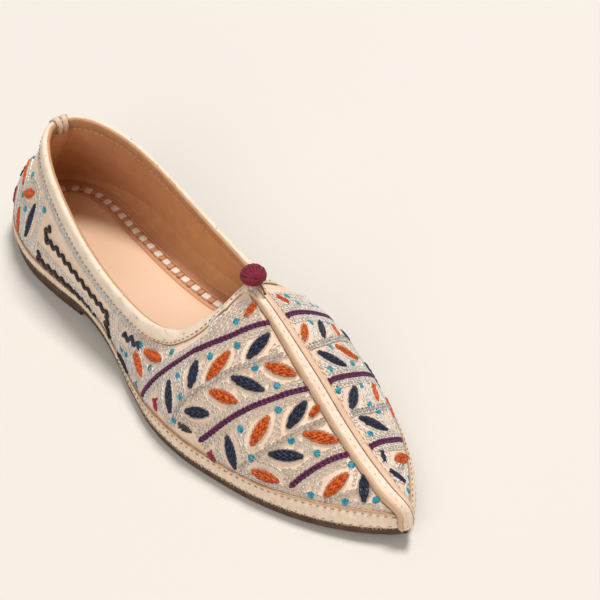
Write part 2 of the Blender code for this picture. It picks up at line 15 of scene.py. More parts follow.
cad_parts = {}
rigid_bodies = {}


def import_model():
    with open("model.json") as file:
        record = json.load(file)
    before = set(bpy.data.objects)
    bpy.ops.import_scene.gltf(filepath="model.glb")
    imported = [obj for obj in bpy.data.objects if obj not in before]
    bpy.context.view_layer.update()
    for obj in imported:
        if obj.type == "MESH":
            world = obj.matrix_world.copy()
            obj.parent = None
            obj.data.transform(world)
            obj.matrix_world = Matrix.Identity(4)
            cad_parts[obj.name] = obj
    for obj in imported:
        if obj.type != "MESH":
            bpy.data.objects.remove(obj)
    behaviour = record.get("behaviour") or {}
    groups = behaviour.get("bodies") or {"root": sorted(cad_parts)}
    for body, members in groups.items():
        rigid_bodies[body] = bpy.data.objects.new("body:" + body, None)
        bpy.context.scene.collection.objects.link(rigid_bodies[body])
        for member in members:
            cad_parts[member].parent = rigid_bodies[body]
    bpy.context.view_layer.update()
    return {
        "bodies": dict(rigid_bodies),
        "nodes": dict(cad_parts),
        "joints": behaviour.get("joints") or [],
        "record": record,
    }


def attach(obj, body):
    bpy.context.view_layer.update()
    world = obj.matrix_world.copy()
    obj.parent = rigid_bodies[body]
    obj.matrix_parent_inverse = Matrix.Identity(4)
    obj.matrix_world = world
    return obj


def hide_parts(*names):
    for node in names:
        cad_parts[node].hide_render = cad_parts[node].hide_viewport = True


for old in list(bpy.data.objects):
    bpy.data.objects.remove(old)
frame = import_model()
print("solids:", sorted(frame["nodes"]))

# %% [markdown]
# ## The shoe's own coordinates
# The upper is drawn by sections. `t` counts the sections from the back of the heel to the tip of
# the toe, and `v` runs up the wall from the sole (0) to the top line or the ridge (1).
# A leaf of thread can then be charted as "row 16, half way up" and it lies on the leather
# whatever the shape does there. `side` is -1 for the side that faces the camera, 1 for the other.

# %% The table of sections
LENGTH, HALF = 0.250, 0.041
HEEL_HEIGHT, SIDE_HEIGHT, INSTEP_HEIGHT, TOE_HEIGHT = 0.0575, 0.0290, 0.0577, 0.0170
OUTSOLE, HEEL_LIFT, TOE_SPRING = 0.0035, 0.0035, 0.0030
WALL, CLEARANCE = 0.0018, 0.0003
EDGE_INSET = 0.0014

# sole_y, sole_x, top_y, top_x, heel, side, instep, toe, swell, rise, reach, drop, band
SECTIONS = np.array([
    [0.000, 0.000, 0.107, 0.000, 1.00, 0.00, 0.00, 0.00, 0.050, 0.36, 0.05, 0.27, 0.40],
    [0.004, 0.165, 0.109, 0.095, 1.00, 0.00, 0.00, 0.00, 0.050, 0.36, 0.05, 0.27, 0.40],
    [0.018, 0.325, 0.119, 0.190, 0.99, 0.02, 0.00, 0.00, 0.050, 0.36, 0.05, 0.27, 0.40],
    [0.050, 0.482, 0.145, 0.320, 0.93, 0.10, 0.00, 0.00, 0.050, 0.36, 0.05, 0.27, 0.40],
    [0.100, 0.622, 0.185, 0.440, 0.83, 0.20, 0.00, 0.00, 0.045, 0.36, 0.04, 0.28, 0.40],
    [0.165, 0.706, 0.235, 0.530, 0.68, 0.34, 0.00, 0.00, 0.045, 0.37, 0.04, 0.28, 0.42],
    [0.240, 0.705, 0.300, 0.600, 0.44, 0.58, 0.00, 0.00, 0.035, 0.38, 0.04, 0.30, 0.42],
    [0.320, 0.668, 0.370, 0.638, 0.22, 0.80, 0.00, 0.00, 0.035, 0.40, 0.04, 0.30, 0.32],
    [0.390, 0.690, 0.440, 0.648, 0.07, 0.96, 0.00, 0.00, 0.035, 0.40, 0.05, 0.30, 0.26],
    [0.450, 0.765, 0.500, 0.634, 0.00, 1.00, 0.02, 0.00, 0.035, 0.42, 0.07, 0.30, 0.25],
    [0.500, 0.850, 0.545, 0.590, 0.00, 0.88, 0.10, 0.00, 0.030, 0.44, 0.10, 0.26, 0.28],
    [0.545, 0.922, 0.582, 0.510, 0.00, 0.66, 0.28, 0.00, 0.030, 0.45, 0.13, 0.22, 0.36],
    [0.580, 0.970, 0.607, 0.380, 0.00, 0.42, 0.52, 0.00, 0.030, 0.45, 0.17, 0.17, 0.52],
    [0.610, 0.992, 0.626, 0.200, 0.00, 0.20, 0.75, 0.00, 0.030, 0.45, 0.21, 0.11, 0.66],
    [0.640, 1.000, 0.641, 0.000, 0.00, 0.00, 1.00, 0.00, 0.030, 0.45, 0.25, 0.06, 0.74],
    [0.690, 0.975, 0.690, 0.000, 0.00, 0.00, 0.93, 0.00, 0.030, 0.46, 0.26, 0.06, 0.76],
    [0.745, 0.905, 0.745, 0.000, 0.00, 0.00, 0.61, 0.67, 0.030, 0.48, 0.27, 0.05, 0.76],
    [0.800, 0.815, 0.800, 0.000, 0.00, 0.00, 0.41, 0.89, 0.030, 0.50, 0.27, 0.05, 0.80],
    [0.855, 0.690, 0.855, 0.000, 0.00, 0.00, 0.22, 1.00, 0.030, 0.50, 0.25, 0.05, 0.88],
    [0.905, 0.535, 0.905, 0.000, 0.00, 0.00, 0.09, 1.04, 0.030, 0.50, 0.20, 0.05, 0.96],
    [0.948, 0.355, 0.947, 0.000, 0.00, 0.00, 0.02, 1.04, 0.030, 0.50, 0.13, 0.06, 1.00],
    [0.978, 0.195, 0.976, 0.000, 0.00, 0.00, 0.00, 1.00, 0.020, 0.50, 0.07, 0.10, 0.94],
    [0.994, 0.085, 0.992, 0.000, 0.00, 0.00, 0.00, 0.89, 0.010, 0.45, 0.03, 0.20, 0.84],
    [1.000, 0.000, 1.002, 0.000, 0.00, 0.00, 0.00, 0.76, 0.010, 0.40, 0.01, 0.30, 0.80],
])
(SOLE_Y, SOLE_X, TOP_Y, TOP_X, HEEL_MIX, SIDE_MIX, INSTEP_MIX, TOE_MIX,
 SWELL, RISE, REACH, DROP, BAND) = SECTIONS.T
TOP_Z = (HEEL_MIX * HEEL_HEIGHT + SIDE_MIX * SIDE_HEIGHT
         + INSTEP_MIX * INSTEP_HEIGHT + TOE_MIX * TOE_HEIGHT)
LAST = len(SECTIONS) - 1
THROAT = int(np.max(np.nonzero(TOP_X > 0))) + 1
print("sections:", LAST + 1, "throat at", THROAT)

# %% [markdown]
# ## Between the sections
# A shoemaker draws a few sections and fairs the rest by eye. A smooth curve through the table
# does the same here, and a soft step blends one rule into the next.

# %% Smooth values between the sections
def smooth(values, t, even_start=False, even_end=False):
    """Value at row t of a smooth curve through the values of the rows."""
    n = len(values) - 1
    t = np.clip(np.asarray(t, float), 0, n)
    k = np.minimum(t.astype(int), n - 1)
    f = t - k
    slope = np.empty(n + 1)
    slope[1:-1] = (values[2:] - values[:-2]) / 2
    slope[0] = 0.0 if even_start else values[1] - values[0]
    slope[-1] = 0.0 if even_end else values[-1] - values[-2]
    return ((2 * f ** 3 - 3 * f ** 2 + 1) * values[k] + (f ** 3 - 2 * f ** 2 + f) * slope[k]
            + (3 * f ** 2 - 2 * f ** 3) * values[k + 1] + (f ** 3 - f ** 2) * slope[k + 1])


def ease(value, start, end):
    """0 before start, 1 after end, smooth between."""
    f = np.clip((np.asarray(value, float) - start) / (end - start), 0.0, 1.0)
    return f * f * (3 - 2 * f)


def mix(a, b, f):
    return a + (b - a) * f


def unit(vectors):
    length = np.linalg.norm(vectors, axis=-1, keepdims=True)
    return vectors / np.maximum(length, 1e-12)


def outsole_top(y):
    """Height of the outsole's upper face at a place along the shoe."""
    share = 0.5 - y / LENGTH
    spring = np.maximum(share - 0.80, 0.0) / 0.20
    return OUTSOLE + HEEL_LIFT * (1 - ease(share, 0.31, 0.47)) + TOE_SPRING * spring ** 2


def outline(t):
    """Points of the sole's outline at rows t, and the way out from it, seen from above."""
    t = np.asarray(t, float)
    y_of = lambda s: LENGTH * (0.5 - smooth(SOLE_Y, s, True, True))
    x_of = lambda s: HALF * smooth(SOLE_X, s)
    before, after = np.maximum(t - 0.02, 0), np.minimum(t + 0.02, LAST)
    dx, dy = x_of(after) - x_of(before), y_of(after) - y_of(before)
    zero = np.zeros_like(t)
    out = unit(np.stack([-dy, dx, zero], -1))
    out = np.where((t < 0.02)[..., None], (0.0, 1.0, 0.0), out)
    out = np.where((t > LAST - 0.02)[..., None], (0.0, -1.0, 0.0), out)
    return np.stack([x_of(t), y_of(t), zero], -1), out

# %% [markdown]
# ## The wall
# On the real shoe the wall is the shape that wet leather took over the last. One function gives
# its points, so every piece that lies on it asks the same function for its place.

# %% The wall of the upper
def top_value(values, t, even_start=False):
    """Value along the top line, which has a corner at the throat."""
    back = smooth(values[:THROAT + 1], t, even_start)
    front = smooth(values[THROAT:], np.asarray(t, float) - THROAT)
    return np.where(np.asarray(t) <= THROAT, back, front)


def leather(t, v, side=1, above=0.0):
    """Points of the upper's outer face at rows t and heights v, moved out by a distance above it."""
    t, v = np.broadcast_arrays(np.asarray(t, float), np.asarray(v, float))
    edge, out = outline(t)
    low = edge - out * EDGE_INSET
    low[..., 0] = np.maximum(low[..., 0], 0)
    low[..., 2] = outsole_top(low[..., 1]) + CLEARANCE
    top = np.stack([np.maximum(HALF * top_value(TOP_X, t), 0),
                    LENGTH * (0.5 - top_value(TOP_Y, t, True)), top_value(TOP_Z, t, True)], -1)
    height = (top[..., 2] - low[..., 2])[..., None]
    across = np.array([1.0, 0.0, 0.0])
    to_ridge = ease(t, THROAT - 4, THROAT)[..., None]
    to_tip = np.clip(t - LAST + 1, 0, 1)[..., None]
    lean = unit(np.where(to_tip > 0, mix(across, out, to_tip), mix(out, across, to_ridge)))
    up = np.array([0.0, 0.0, 1.0])
    column = lambda values: smooth(values, t)[..., None]
    low_handle = low + out * column(SWELL) * HALF + up * column(RISE) * height
    top_handle = top + lean * column(REACH) * HALF - up * column(DROP) * height
    ends = ((t <= 0) | (t >= LAST))
    low_handle[..., 0] = np.where(ends, 0, low_handle[..., 0])
    top_handle[..., 0] = np.where(ends, 0, top_handle[..., 0])
    w, v = (1 - v)[..., None], v[..., None]
    spot = low * w ** 3 + low_handle * 3 * w * w * v + top_handle * 3 * w * v * v + top * v ** 3
    if np.any(above):
        spot = spot + leather_out(t, v[..., 0]) * np.broadcast_to(above, t.shape)[..., None]
    return spot * (side, 1, 1)


def leather_out(t, v, side=1):
    """The way straight out of the leather."""
    step = 0.01
    t, v = np.broadcast_arrays(np.asarray(t, float), np.asarray(v, float))
    t0, t1 = np.maximum(t - step, 0), np.minimum(t + step, LAST)
    t1 = np.where((t <= THROAT) & (t1 > THROAT), THROAT, t1)
    t0 = np.where((t > THROAT) & (t0 < THROAT), THROAT + 1e-6, t0)
    v0, v1 = np.maximum(v - step, 0), np.minimum(v + step, 1)
    along = leather(t1, v) - leather(t0, v)
    rise = leather(t, v1) - leather(t, v0)
    out = np.cross(along, rise)
    out[..., 0] = np.where((t <= 0) | (t >= LAST), 0, out[..., 0])
    out = unit(out)
    away = np.sum(out * (outline(t)[1] + (0, 0, 0.5)), -1, keepdims=True)
    return np.where(away < 0, -out, out) * (side, 1, 1)


ridge = leather(np.linspace(THROAT, LAST, 6), 1.0)
print("ridge in mm:", (ridge * 1000).round(1).tolist())

# %% [markdown]
# ## Materials
# Leather, thread and yarn differ in colour, in gloss and in how rough they are close up.
# One helper mixes two shades with a noise and raises a fine grain as a bump, and each finish
# picks its own numbers. The noise reads Object coordinates, so it stays put on the piece.

# %% A finish from two shades and a grain
def finish(name, light, dark, rough=0.6, patch=90.0, grain=2500.0, depth=0.00006, sheen=0.0, coat=0.0,
           contrast=0.5, metal=0.0, pores=0.0, creases=0.0):
    """Material whose colour wanders between two shades, with a fine grain, pores and soft creases."""
    material = bpy.data.materials.new(name)
    material.use_nodes = True
    nodes, links = material.node_tree.nodes, material.node_tree.links
    shader = nodes["Principled BSDF"]
    place = nodes.new("ShaderNodeTexCoord")
    patches = nodes.new("ShaderNodeTexNoise")
    patches.inputs["Scale"].default_value = patch
    patches.inputs["Detail"].default_value = 5.0
    patches.inputs["Roughness"].default_value = 0.6
    ramp = nodes.new("ShaderNodeValToRGB")
    ramp.color_ramp.elements[0].position = 0.5 - contrast / 2
    ramp.color_ramp.elements[1].position = 0.5 + contrast / 2
    ramp.color_ramp.elements[0].color = (*dark, 1)
    ramp.color_ramp.elements[1].color = (*light, 1)
    fine = nodes.new("ShaderNodeTexNoise")
    fine.inputs["Scale"].default_value = grain
    fine.inputs["Detail"].default_value = 3.0
    bump = nodes.new("ShaderNodeBump")
    bump.inputs["Distance"].default_value = depth
    links.new(place.outputs["Object"], patches.inputs["Vector"])
    links.new(place.outputs["Object"], fine.inputs["Vector"])
    links.new(patches.outputs["Fac"], ramp.inputs["Fac"])
    colour = ramp.outputs["Color"]
    if pores:
        spots = nodes.new("ShaderNodeTexNoise")
        spots.inputs["Scale"].default_value = 520.0
        spots.inputs["Detail"].default_value = 2.0
        spots_ramp = nodes.new("ShaderNodeValToRGB")
        spots_ramp.color_ramp.elements[0].position = 0.66
        spots_ramp.color_ramp.elements[1].position = 0.74
        spots_ramp.color_ramp.elements[0].color = (0, 0, 0, 1)
        spots_ramp.color_ramp.elements[1].color = (pores, pores, pores, 1)
        dot = nodes.new("ShaderNodeMix")
        dot.data_type = "RGBA"
        dot.inputs["B"].default_value = (0.12, 0.06, 0.03, 1)
        links.new(place.outputs["Object"], spots.inputs["Vector"])
        links.new(spots.outputs["Fac"], spots_ramp.inputs["Fac"])
        links.new(spots_ramp.outputs["Color"], dot.inputs["Factor"])
        links.new(colour, dot.inputs["A"])
        colour = dot.outputs["Result"]
    links.new(colour, shader.inputs["Base Color"])
    if creases:
        fold = nodes.new("ShaderNodeTexNoise")
        fold.inputs["Scale"].default_value = 190.0
        fold.inputs["Detail"].default_value = 4.0
        fold.inputs["Distortion"].default_value = 0.6
        fold_bump = nodes.new("ShaderNodeBump")
        fold_bump.inputs["Distance"].default_value = creases
        links.new(place.outputs["Object"], fold.inputs["Vector"])
        links.new(fold.outputs["Fac"], fold_bump.inputs["Height"])
        links.new(fold_bump.outputs["Normal"], bump.inputs["Normal"])
    links.new(fine.outputs["Fac"], bump.inputs["Height"])
    links.new(bump.outputs["Normal"], shader.inputs["Normal"])
    shader.inputs["Roughness"].default_value = rough
    shader.inputs["Sheen Weight"].default_value = sheen
    shader.inputs["Coat Weight"].default_value = coat
    shader.inputs["Metallic"].default_value = metal
    return material


def paint(red, green, blue):
    """Screen colour (0 to 255) as the linear colour that shaders use."""
    return tuple(((c / 255 + 0.055) / 1.055) ** 2.4 if c > 10 else c / 255 / 12.92
                 for c in (red, green, blue))


GROUND = finish("embroidery ground", paint(246, 222, 200), paint(230, 203, 176), 0.62, 130, 1800, 0.00012, 0.05,
                contrast=0.4, pores=0.35, creases=0.0006)
LINING = finish("lining", paint(216, 162, 112), paint(202, 147, 98), 0.76, 160, 1400, 0.00012, 0.1, creases=0.0001)
TURNED = finish("turned edge", paint(206, 156, 112), paint(182, 130, 88), 0.7, 160, 1400, 0.00010, 0.1)
CREAM = finish("cream leather", paint(246, 229, 210), paint(229, 208, 186), 0.55, 150, 1600, 0.00010, 0.05, 0.03,
               contrast=0.45, pores=0.6, creases=0.0008)
FOLDED = finish("folded leather", paint(232, 202, 176), paint(212, 178, 148), 0.5, 120, 1600, 0.00008, 0.05, 0.04,
                pores=0.3, creases=0.0005)
SUEDE = finish("tan suede", paint(250, 231, 208), paint(228, 204, 178), 0.85, 300, 3200, 0.00016, 0.2,
               pores=0.5, creases=0.0008)
SOLE = finish("sole leather", paint(104, 76, 56), paint(62, 42, 30), 0.7, 220, 2600, 0.00018)
PAD = finish("heel pad", paint(235, 202, 172), paint(226, 190, 158), 0.55, 30, 1500, 0.00006, 0.05)
INNER_BAND = finish("insole band", paint(216, 162, 122), paint(196, 138, 98), 0.55, 60, 1700, 0.00008, 0.05)
print("finishes so far:", len(bpy.data.materials))

# %% [markdown]
# ## Making pieces
# A curved sheet starts as a flat grid from Blender's own operator. Each of its vertices has a
# place between 0 and 1 both ways, and a function of those two numbers lays it on the shoe.
# Two such sheets, mirrored and merged, make both sides, and `solidify` gives them their wall.

# %% Helpers for sheets and pieces
def sheet(columns, rows, place):
    """Grid of that many faces, laid out by a function of (0 to 1, 0 to 1) that gives points."""
    bm = bmesh.new()
    bmesh.ops.create_grid(bm, x_segments=columns, y_segments=rows, size=0.5)
    spots = np.array([vert.co[:2] for vert in bm.verts]) + 0.5
    for vert, point in zip(bm.verts, place(spots[:, 0], spots[:, 1])):
        vert.co = point
    return bm


def both_sides(bm, merge=0.00002):
    """Adds the mirrored half, and merges where the halves meet."""
    bmesh.ops.mirror(bm, geom=bm.verts[:] + bm.edges[:] + bm.faces[:], matrix=Matrix.Identity(4),
                     merge_dist=0.0, axis="X", mirror_u=False, mirror_v=False)
    bmesh.ops.remove_doubles(bm, verts=bm.verts, dist=merge)
    bmesh.ops.dissolve_degenerate(bm, edges=bm.edges, dist=0.000001)
    return bm


def outwards(bm, inside=Vector((0, 0, 0.02))):
    """Turns an open sheet's faces to look away from the inside of the shoe."""
    bmesh.ops.recalc_face_normals(bm, faces=bm.faces)
    widest = max(bm.faces, key=lambda face: abs(face.calc_center_median().x))
    if widest.normal.dot(widest.calc_center_median() - inside) < 0:
        bmesh.ops.reverse_faces(bm, faces=bm.faces)
    return bm


def closed(bm):
    bmesh.ops.remove_doubles(bm, verts=bm.verts, dist=0.000004)
    bmesh.ops.recalc_face_normals(bm, faces=bm.faces)
    return bm


def piece(name, bm, material, replaced=(), round_look=True):
    """Object from a bmesh, on the shoe's body, with its finish and the solid it stands for."""
    mesh = bpy.data.meshes.new(name)
    bm.to_mesh(mesh)
    bm.free()
    mesh.materials.append(material)
    mesh.polygons.foreach_set("use_smooth", [round_look] * len(mesh.polygons))
    item = bpy.data.objects.new(name, mesh)
    bpy.context.scene.collection.objects.link(item)
    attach(item, "root")
    if replaced:
        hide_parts(*replaced)
    ahead = min(vert.co.y for vert in mesh.vertices)
    print(name, "faces:", len(mesh.polygons), "foremost mm:", round(ahead * 1000, 1))
    return item

# %% [markdown]
# ## The upper and its lining
# The real upper is beige leather with a thin tan lining glued in. They are two pieces here,
# because they differ in colour: the outer leather, and the lining just inside it.

# %% The outer leather
def upper_sheet(back, front, high, inside=0.0):
    """Both sides of the upper as one open sheet, moved in from the outer face."""
    def place(u, w):
        join = back / (back + front)
        t = np.where(u <= join + 1e-9, u / join * THROAT, THROAT + (u - join) / (1 - join) * (LAST - THROAT))
        t = np.where(np.abs(u - join) < 1e-6, THROAT, t)
        if inside:
            t = t * (LAST - 0.6) / LAST
        v = 1 - (1 - w) ** 1.3
        spot = leather(t, v, 1, -inside)
        spot[:, 0] = np.maximum(spot[:, 0], leather(t, v)[:, 0] * 0.4)
        spot[:, 0] = np.where(u > 1 - 1e-9, 0, spot[:, 0])
        return spot
    bm = both_sides(sheet(back + front, high, place))
    return outwards(bm)


bm = upper_sheet(110, 90, 46)
bmesh.ops.solidify(bm, geom=bm.faces[:], thickness=0.0010)
outer = piece("outer_leather", closed(bm), GROUND, ["upper"])

bm = upper_sheet(90, 60, 24, 0.0011)
bmesh.ops.solidify(bm, geom=bm.faces[:], thickness=0.0006)
lining = piece("lining", closed(bm), LINING)

# %% [markdown]
# ## Walking on the leather
# Bindings, strips and cords all follow the leather. To find the leather again after stepping
# sideways from a line, a search tree over the outer face gives the nearest point and its normal.

# %% A search tree, and heights along the wall
from mathutils.bvhtree import BVHTree

bm = upper_sheet(160, 120, 60)
SKIN = BVHTree.FromBMesh(bm)
bm.free()


def nearest_on_skin(point):
    """Nearest point of the outer face, and the way out there."""
    spot, out = SKIN.find_nearest(Vector(point))[:2]
    core = Vector((0, min(max(spot.y, -0.095), 0.095), 0))
    return np.array(spot), np.array(out if out.dot(spot - core) > 0 else -out)


def v_at(t, far, from_top=False):
    """The height v that lies a distance along the wall from the sole, or from the top line."""
    t, far = np.broadcast_arrays(np.asarray(t, float), np.asarray(far, float))
    v = np.linspace(0, 1, 61)
    spots = leather(t[..., None], v)
    steps = np.linalg.norm(np.diff(spots, axis=-2), axis=-1)
    gone = np.concatenate([np.zeros(t.shape + (1,)), np.cumsum(steps, -1)], -1)
    total = gone[..., -1]
    wanted = total - far if from_top else far
    flat = [np.interp(w, g, v) for w, g in zip(np.ravel(wanted), gone.reshape(-1, 61))]
    return np.array(flat).reshape(t.shape)


def swept(points, close_ring=True):
    """Sheet through rows of points; the first and last of each row may be the same point."""
    points = np.asarray(points, float)
    if close_ring:
        points = np.concatenate([points, points[:, :1]], 1)
    rows, ring = len(points) - 1, points.shape[1] - 1
    return sheet(rows, ring, lambda u, w: points[np.rint(u * rows).astype(int), np.rint(w * ring).astype(int)])


print("wall length at rows 0, 6, 14:", [round(float(x) * 1000, 1) for x in
      np.linalg.norm(np.diff(leather(np.array([[0.], [6.], [14.]]), np.linspace(0, 1, 40)), axis=1),
                     axis=2).sum(1)])

# %% [markdown]
# ## The sole
# A leather outsole, flat under the ball, lifted a little at the toe and standing on a thin heel
# lift. Its cut edge bulges slightly. Half of each slab is one sheet that runs from the middle of
# the underside round the edge to the middle of the upper side; the mirror adds the other half.

# %% Outsole and heel lift
def slab_half(t, low, high, inset, edge_round=0.0009):
    """Rows of points from the middle of the underside, round the edge, to the middle on top."""
    edge, out = outline(t)
    rows = []
    for e, o in zip(edge, out):
        bottom, top = low(e[1]), high(e[1])
        thick = top - bottom
        ring = [(0.0, bottom, 0), (0.5, bottom, 0)]
        for inward, share in ((1.0, 0.0), (0.3, 0.08), (0.0, 0.35), (0.05, 0.65), (0.35, 0.93), (1.1, 1.0)):
            ring.append((1.0, bottom + thick * share, inward))
        ring += [(0.5, top, 0), (0.0, top, 0)]
        row = []
        for share, z, inward in ring:
            rim = e - o * (inset + inward * edge_round)
            row.append((max(rim[0], 0) * share, rim[1] if share == 1 else mix(e[1], rim[1], share), z))
        rows.append(row)
    return np.array(rows)


t = np.linspace(0, LAST, 230)
bm = both_sides(swept(slab_half(t, lambda y: outsole_top(y) - OUTSOLE, outsole_top, 0.0), close_ring=False))
outsole = piece("outsole_leather", closed(bm), SOLE, ["outsole"])

LIFT_END = 0.31
t = np.linspace(0, LAST, 2000)
t_end = t[np.argmin(np.abs(0.5 - outline(t)[0][:, 1] / LENGTH - LIFT_END))]
half = slab_half(np.linspace(0, t_end, 90), lambda y: 0.0, lambda y: HEEL_LIFT - 0.0001, 0.0005, 0.0006)
front = half[-1].copy()
front[:, 2] = HEEL_LIFT / 2
half = np.concatenate([half, front[None]])
bm = both_sides(swept(half, close_ring=False))
heel_lift = piece("heel_lift_leather", closed(bm), SOLE, ["heel_lift"])

# %% [markdown]
# ## The insole
# Inside lies a tan sock with a paler, lightly padded middle. The edge band stands in a ring round
# it, and carries a row of white bars laced with tan. Here comes the band, as one tan sheet under
# the whole foot; the padded middle and the row of bars are laid once the beads have a shape.

# %% Insole: the band round the edge
INSOLE_INSET = EDGE_INSET + WALL + 2 * CLEARANCE


def insole_top(y):
    share = 0.5 - y / LENGTH
    return outsole_top(y) + CLEARANCE + 0.0024 + 0.0021 * (1 - ease(share, 0.25, 0.55))


def inset_line(inset):
    """The sole's outline moved inwards: lengthways places and half widths that belong to them."""
    edge, out = outline(np.linspace(0, LAST, 3000))
    rim = edge - out * inset
    rim = rim[rim[:, 0] > 0]
    order = np.argsort(rim[:, 1])
    return rim[order, 1], rim[order, 0]


def sock(places, widths, puff, near=None, rows=170):
    """Rows across the sock, for half widths at places along the shoe; the near half may have its own."""
    near = widths if near is None else near
    turn = np.linspace(0, math.pi, rows)
    y = mix(places[-1], places[0], (1 - np.cos(turn)) / 2)
    share = np.linspace(-1, 1, 31)
    wide = np.where(share < 0, np.interp(y, places, near)[:, None], np.interp(y, places, widths)[:, None])
    wide[[0, -1]] = 0
    lift = puff * (1 - share ** 6) * (1 - np.cos(turn)[:, None] ** 12)
    return np.stack([wide * share, y[:, None] + 0 * share, insole_top(y)[:, None] + lift], -1)


bm = outwards(closed(swept(sock(*inset_line(INSOLE_INSET), 0.0), close_ring=False)), Vector((0, 0, -1)))
bmesh.ops.solidify(bm, geom=bm.faces[:], thickness=0.0012)
sock_band = piece("insole_band", closed(bm), INNER_BAND, ["insole"])
# %% [markdown]
# ## Rand, binding and strips
# Three strips of leather finish the edges. The rand is a band of suede round the foot of the
# upper. The binding folds over the collar. Two strips, a wide one with a rolled edge and a narrow
# one, cover the ridge and bend down over the toe. Each is a cross-section swept along a line.

# %% The rand
BAND_HEIGHT, BAND_GAP, BAND_WALL, BAND_SKIVED = 0.0062, 0.0005, 0.0012, 0.0005


def band_height(t):
    return BAND_HEIGHT * smooth(BAND, t)


t = np.linspace(0, LAST, 260)
section = [(0.0, 0.02), (0.0, 1.0), (0.35, 1.03), (0.75, 0.98), (0.95, 0.8), (1.0, 0.5), (1.05, 0.2),
           (0.95, 0.03), (0.6, 0.0)]
rows = []
for across, up in section:
    thick = mix(BAND_WALL, BAND_SKIVED, up)
    v = v_at(t, CLEARANCE + up * band_height(t))
    spot = leather(t, v, 1, BAND_GAP * 0.2 + across * (thick + BAND_GAP * 0.8))
    spot[:, 0] = np.where((t <= 0) | (t >= LAST), 0, spot[:, 0])
    rows.append(spot)
bm = both_sides(swept(np.stack(rows, 1)))
rand = piece("suede_rand", closed(bm), SUEDE, ["rand_band"])

# %% [markdown]
# ## The binding
# A strip of cream leather is folded over the top edge and stitched through. The fold is swept
# along the top line; the part inside is a second piece, because it is browner there.

# %% The binding over the collar
def collar_line(count):
    """Points of the top line on one side, with the way down the wall and the way out of it."""
    t = np.linspace(0, THROAT, count)
    line = leather(t, 1.0)
    outs = np.array([nearest_on_skin(p)[1] for p in line])
    outs[[0, -1], 0] = 0
    before = np.concatenate([line[1:2] * (-1, 1, 1), line[:-1]])
    after = np.concatenate([line[1:], line[-2:-1] * (-1, 1, 1)])
    downs = unit(np.cross(after - before, outs))
    for k in range(count):
        if downs[k] @ (downs[k - 1] if k else np.array([0, 0, -1.0])) < 0:
            downs[k] = -downs[k]
    for passes in range(6):
        for ways in (downs, outs):
            padded = np.concatenate([ways[1:2] * (-1, 1, 1), ways, ways[-2:-1] * (-1, 1, 1)])
            ways[:] = unit(padded[:-2] + 2 * padded[1:-1] + padded[2:])
    return t, line, downs, outs


def along_collar(profile_of, count=180):
    """Rows of points for a profile of (down, out) that may change along the collar."""
    t, line, downs, outs = collar_line(count)
    rows = []
    for k in range(count):
        row = []
        for down, out in profile_of(t[k]):
            if down > 0:
                seat, facing = nearest_on_skin(line[k] + downs[k] * down)
                facing = unit(mix(outs[k], facing, min(down / 0.0048, 1)))
            else:
                seat, facing = line[k] + downs[k] * down, outs[k]
            seat[0] = 0 if k in (0, count - 1) else seat[0]
            spot = seat + facing * out
            spot[0] = 0 if k in (0, count - 1) else max(spot[0], seat[0] * 0.15)
            row.append(spot)
        rows.append(row)
    return np.array(rows)


BINDING_DEPTH = 0.0048


def binding_profile(t):
    """The part that shows outside, over the edge to the middle of the wall."""
    peak = float(ease(t, THROAT - 2.5, THROAT - 0.8))
    out, thick = 0.0001 + 0.0004 * peak, 0.0009
    return [(BINDING_DEPTH + 0.0002, out), (BINDING_DEPTH + 0.0001, out + thick * 0.5),
            (BINDING_DEPTH * 0.93, out + thick * 0.85),
            (BINDING_DEPTH * 0.5, out + thick * 0.95), (0.0011, out + thick * 0.9), (0.0003, out + thick * 0.8),
            (-0.0004, out + thick * 0.5), (-0.0009, out - thick * 0.1), (-0.0010, -WALL * 0.4),
            (-0.0008, -WALL * 0.8),
            (-0.0001, -WALL * 0.8), (-0.0001, out)]


def turn_profile(t):
    """The thinned edge that is turned in and glued to the lining."""
    peak = float(ease(t, THROAT - 2.5, THROAT - 0.8))
    inside = mix(0.0040, 0.0013, float(ease(t, THROAT - 4, THROAT - 2)))
    back, thick = -WALL - 0.0002 - 0.0006 * peak, 0.0006
    return [(-0.0007, -WALL * 0.7), (-0.0008, back), (-0.0005, back - thick * 0.6), (0.0002, back - thick),
            (inside * 0.5, back - thick), (inside * 0.9, back - thick * 0.7), (inside, back),
            (0.0001, back + 0.0001),
            (-0.0001, -WALL * 0.7)]


bm = both_sides(swept(along_collar(binding_profile)))
binding = piece("collar_binding", closed(bm), CREAM, ["binding"])
bm = both_sides(swept(along_collar(turn_profile)))
piece("binding_turned_in", closed(bm), TURNED)

# %% [markdown]
# ## The strips over the ridge
# Two strips hide the seam where the halves of the upper meet. The wide one is rolled at its outer
# edge; the roll is the strip's cream leather, painted darker as shade. Their rows are found by rays
# on to the leather, so they bend over the toe as leather does.

# %% The two strips over the ridge
STRIP_START, FRONT_END = 0.26, 0.08
WIDE, WIDE_START, NARROW, NARROW_START, TOE_STRIP = 0.0050, 0.0031, 0.0029, 0.0032, 0.0036


def middle_line(count=120, front=20):
    """Points along the ridge and down the front of the toe, the way out there, and the distance gone."""
    ridge = leather(np.linspace(THROAT + STRIP_START, LAST, count), 1.0)
    nose = leather(LAST, np.linspace(1, FRONT_END, front)[1:])
    line = np.concatenate([ridge, nose])
    line[:, 0] = 0
    ahead = np.gradient(line, axis=0)
    out = unit(np.stack([np.zeros(len(line)), ahead[:, 2], -ahead[:, 1]], 1))
    out = np.where((out @ (0, -0.5, 1) < 0)[:, None], -out, out)
    for passes in range(8):
        out[1:-1] = unit(out[:-2] + 2 * out[1:-1] + out[2:])
    gone = np.concatenate([[0], np.cumsum(np.linalg.norm(np.diff(line, axis=0), axis=1))])
    return line, out, gone, gone[-1] - gone[count - 1]


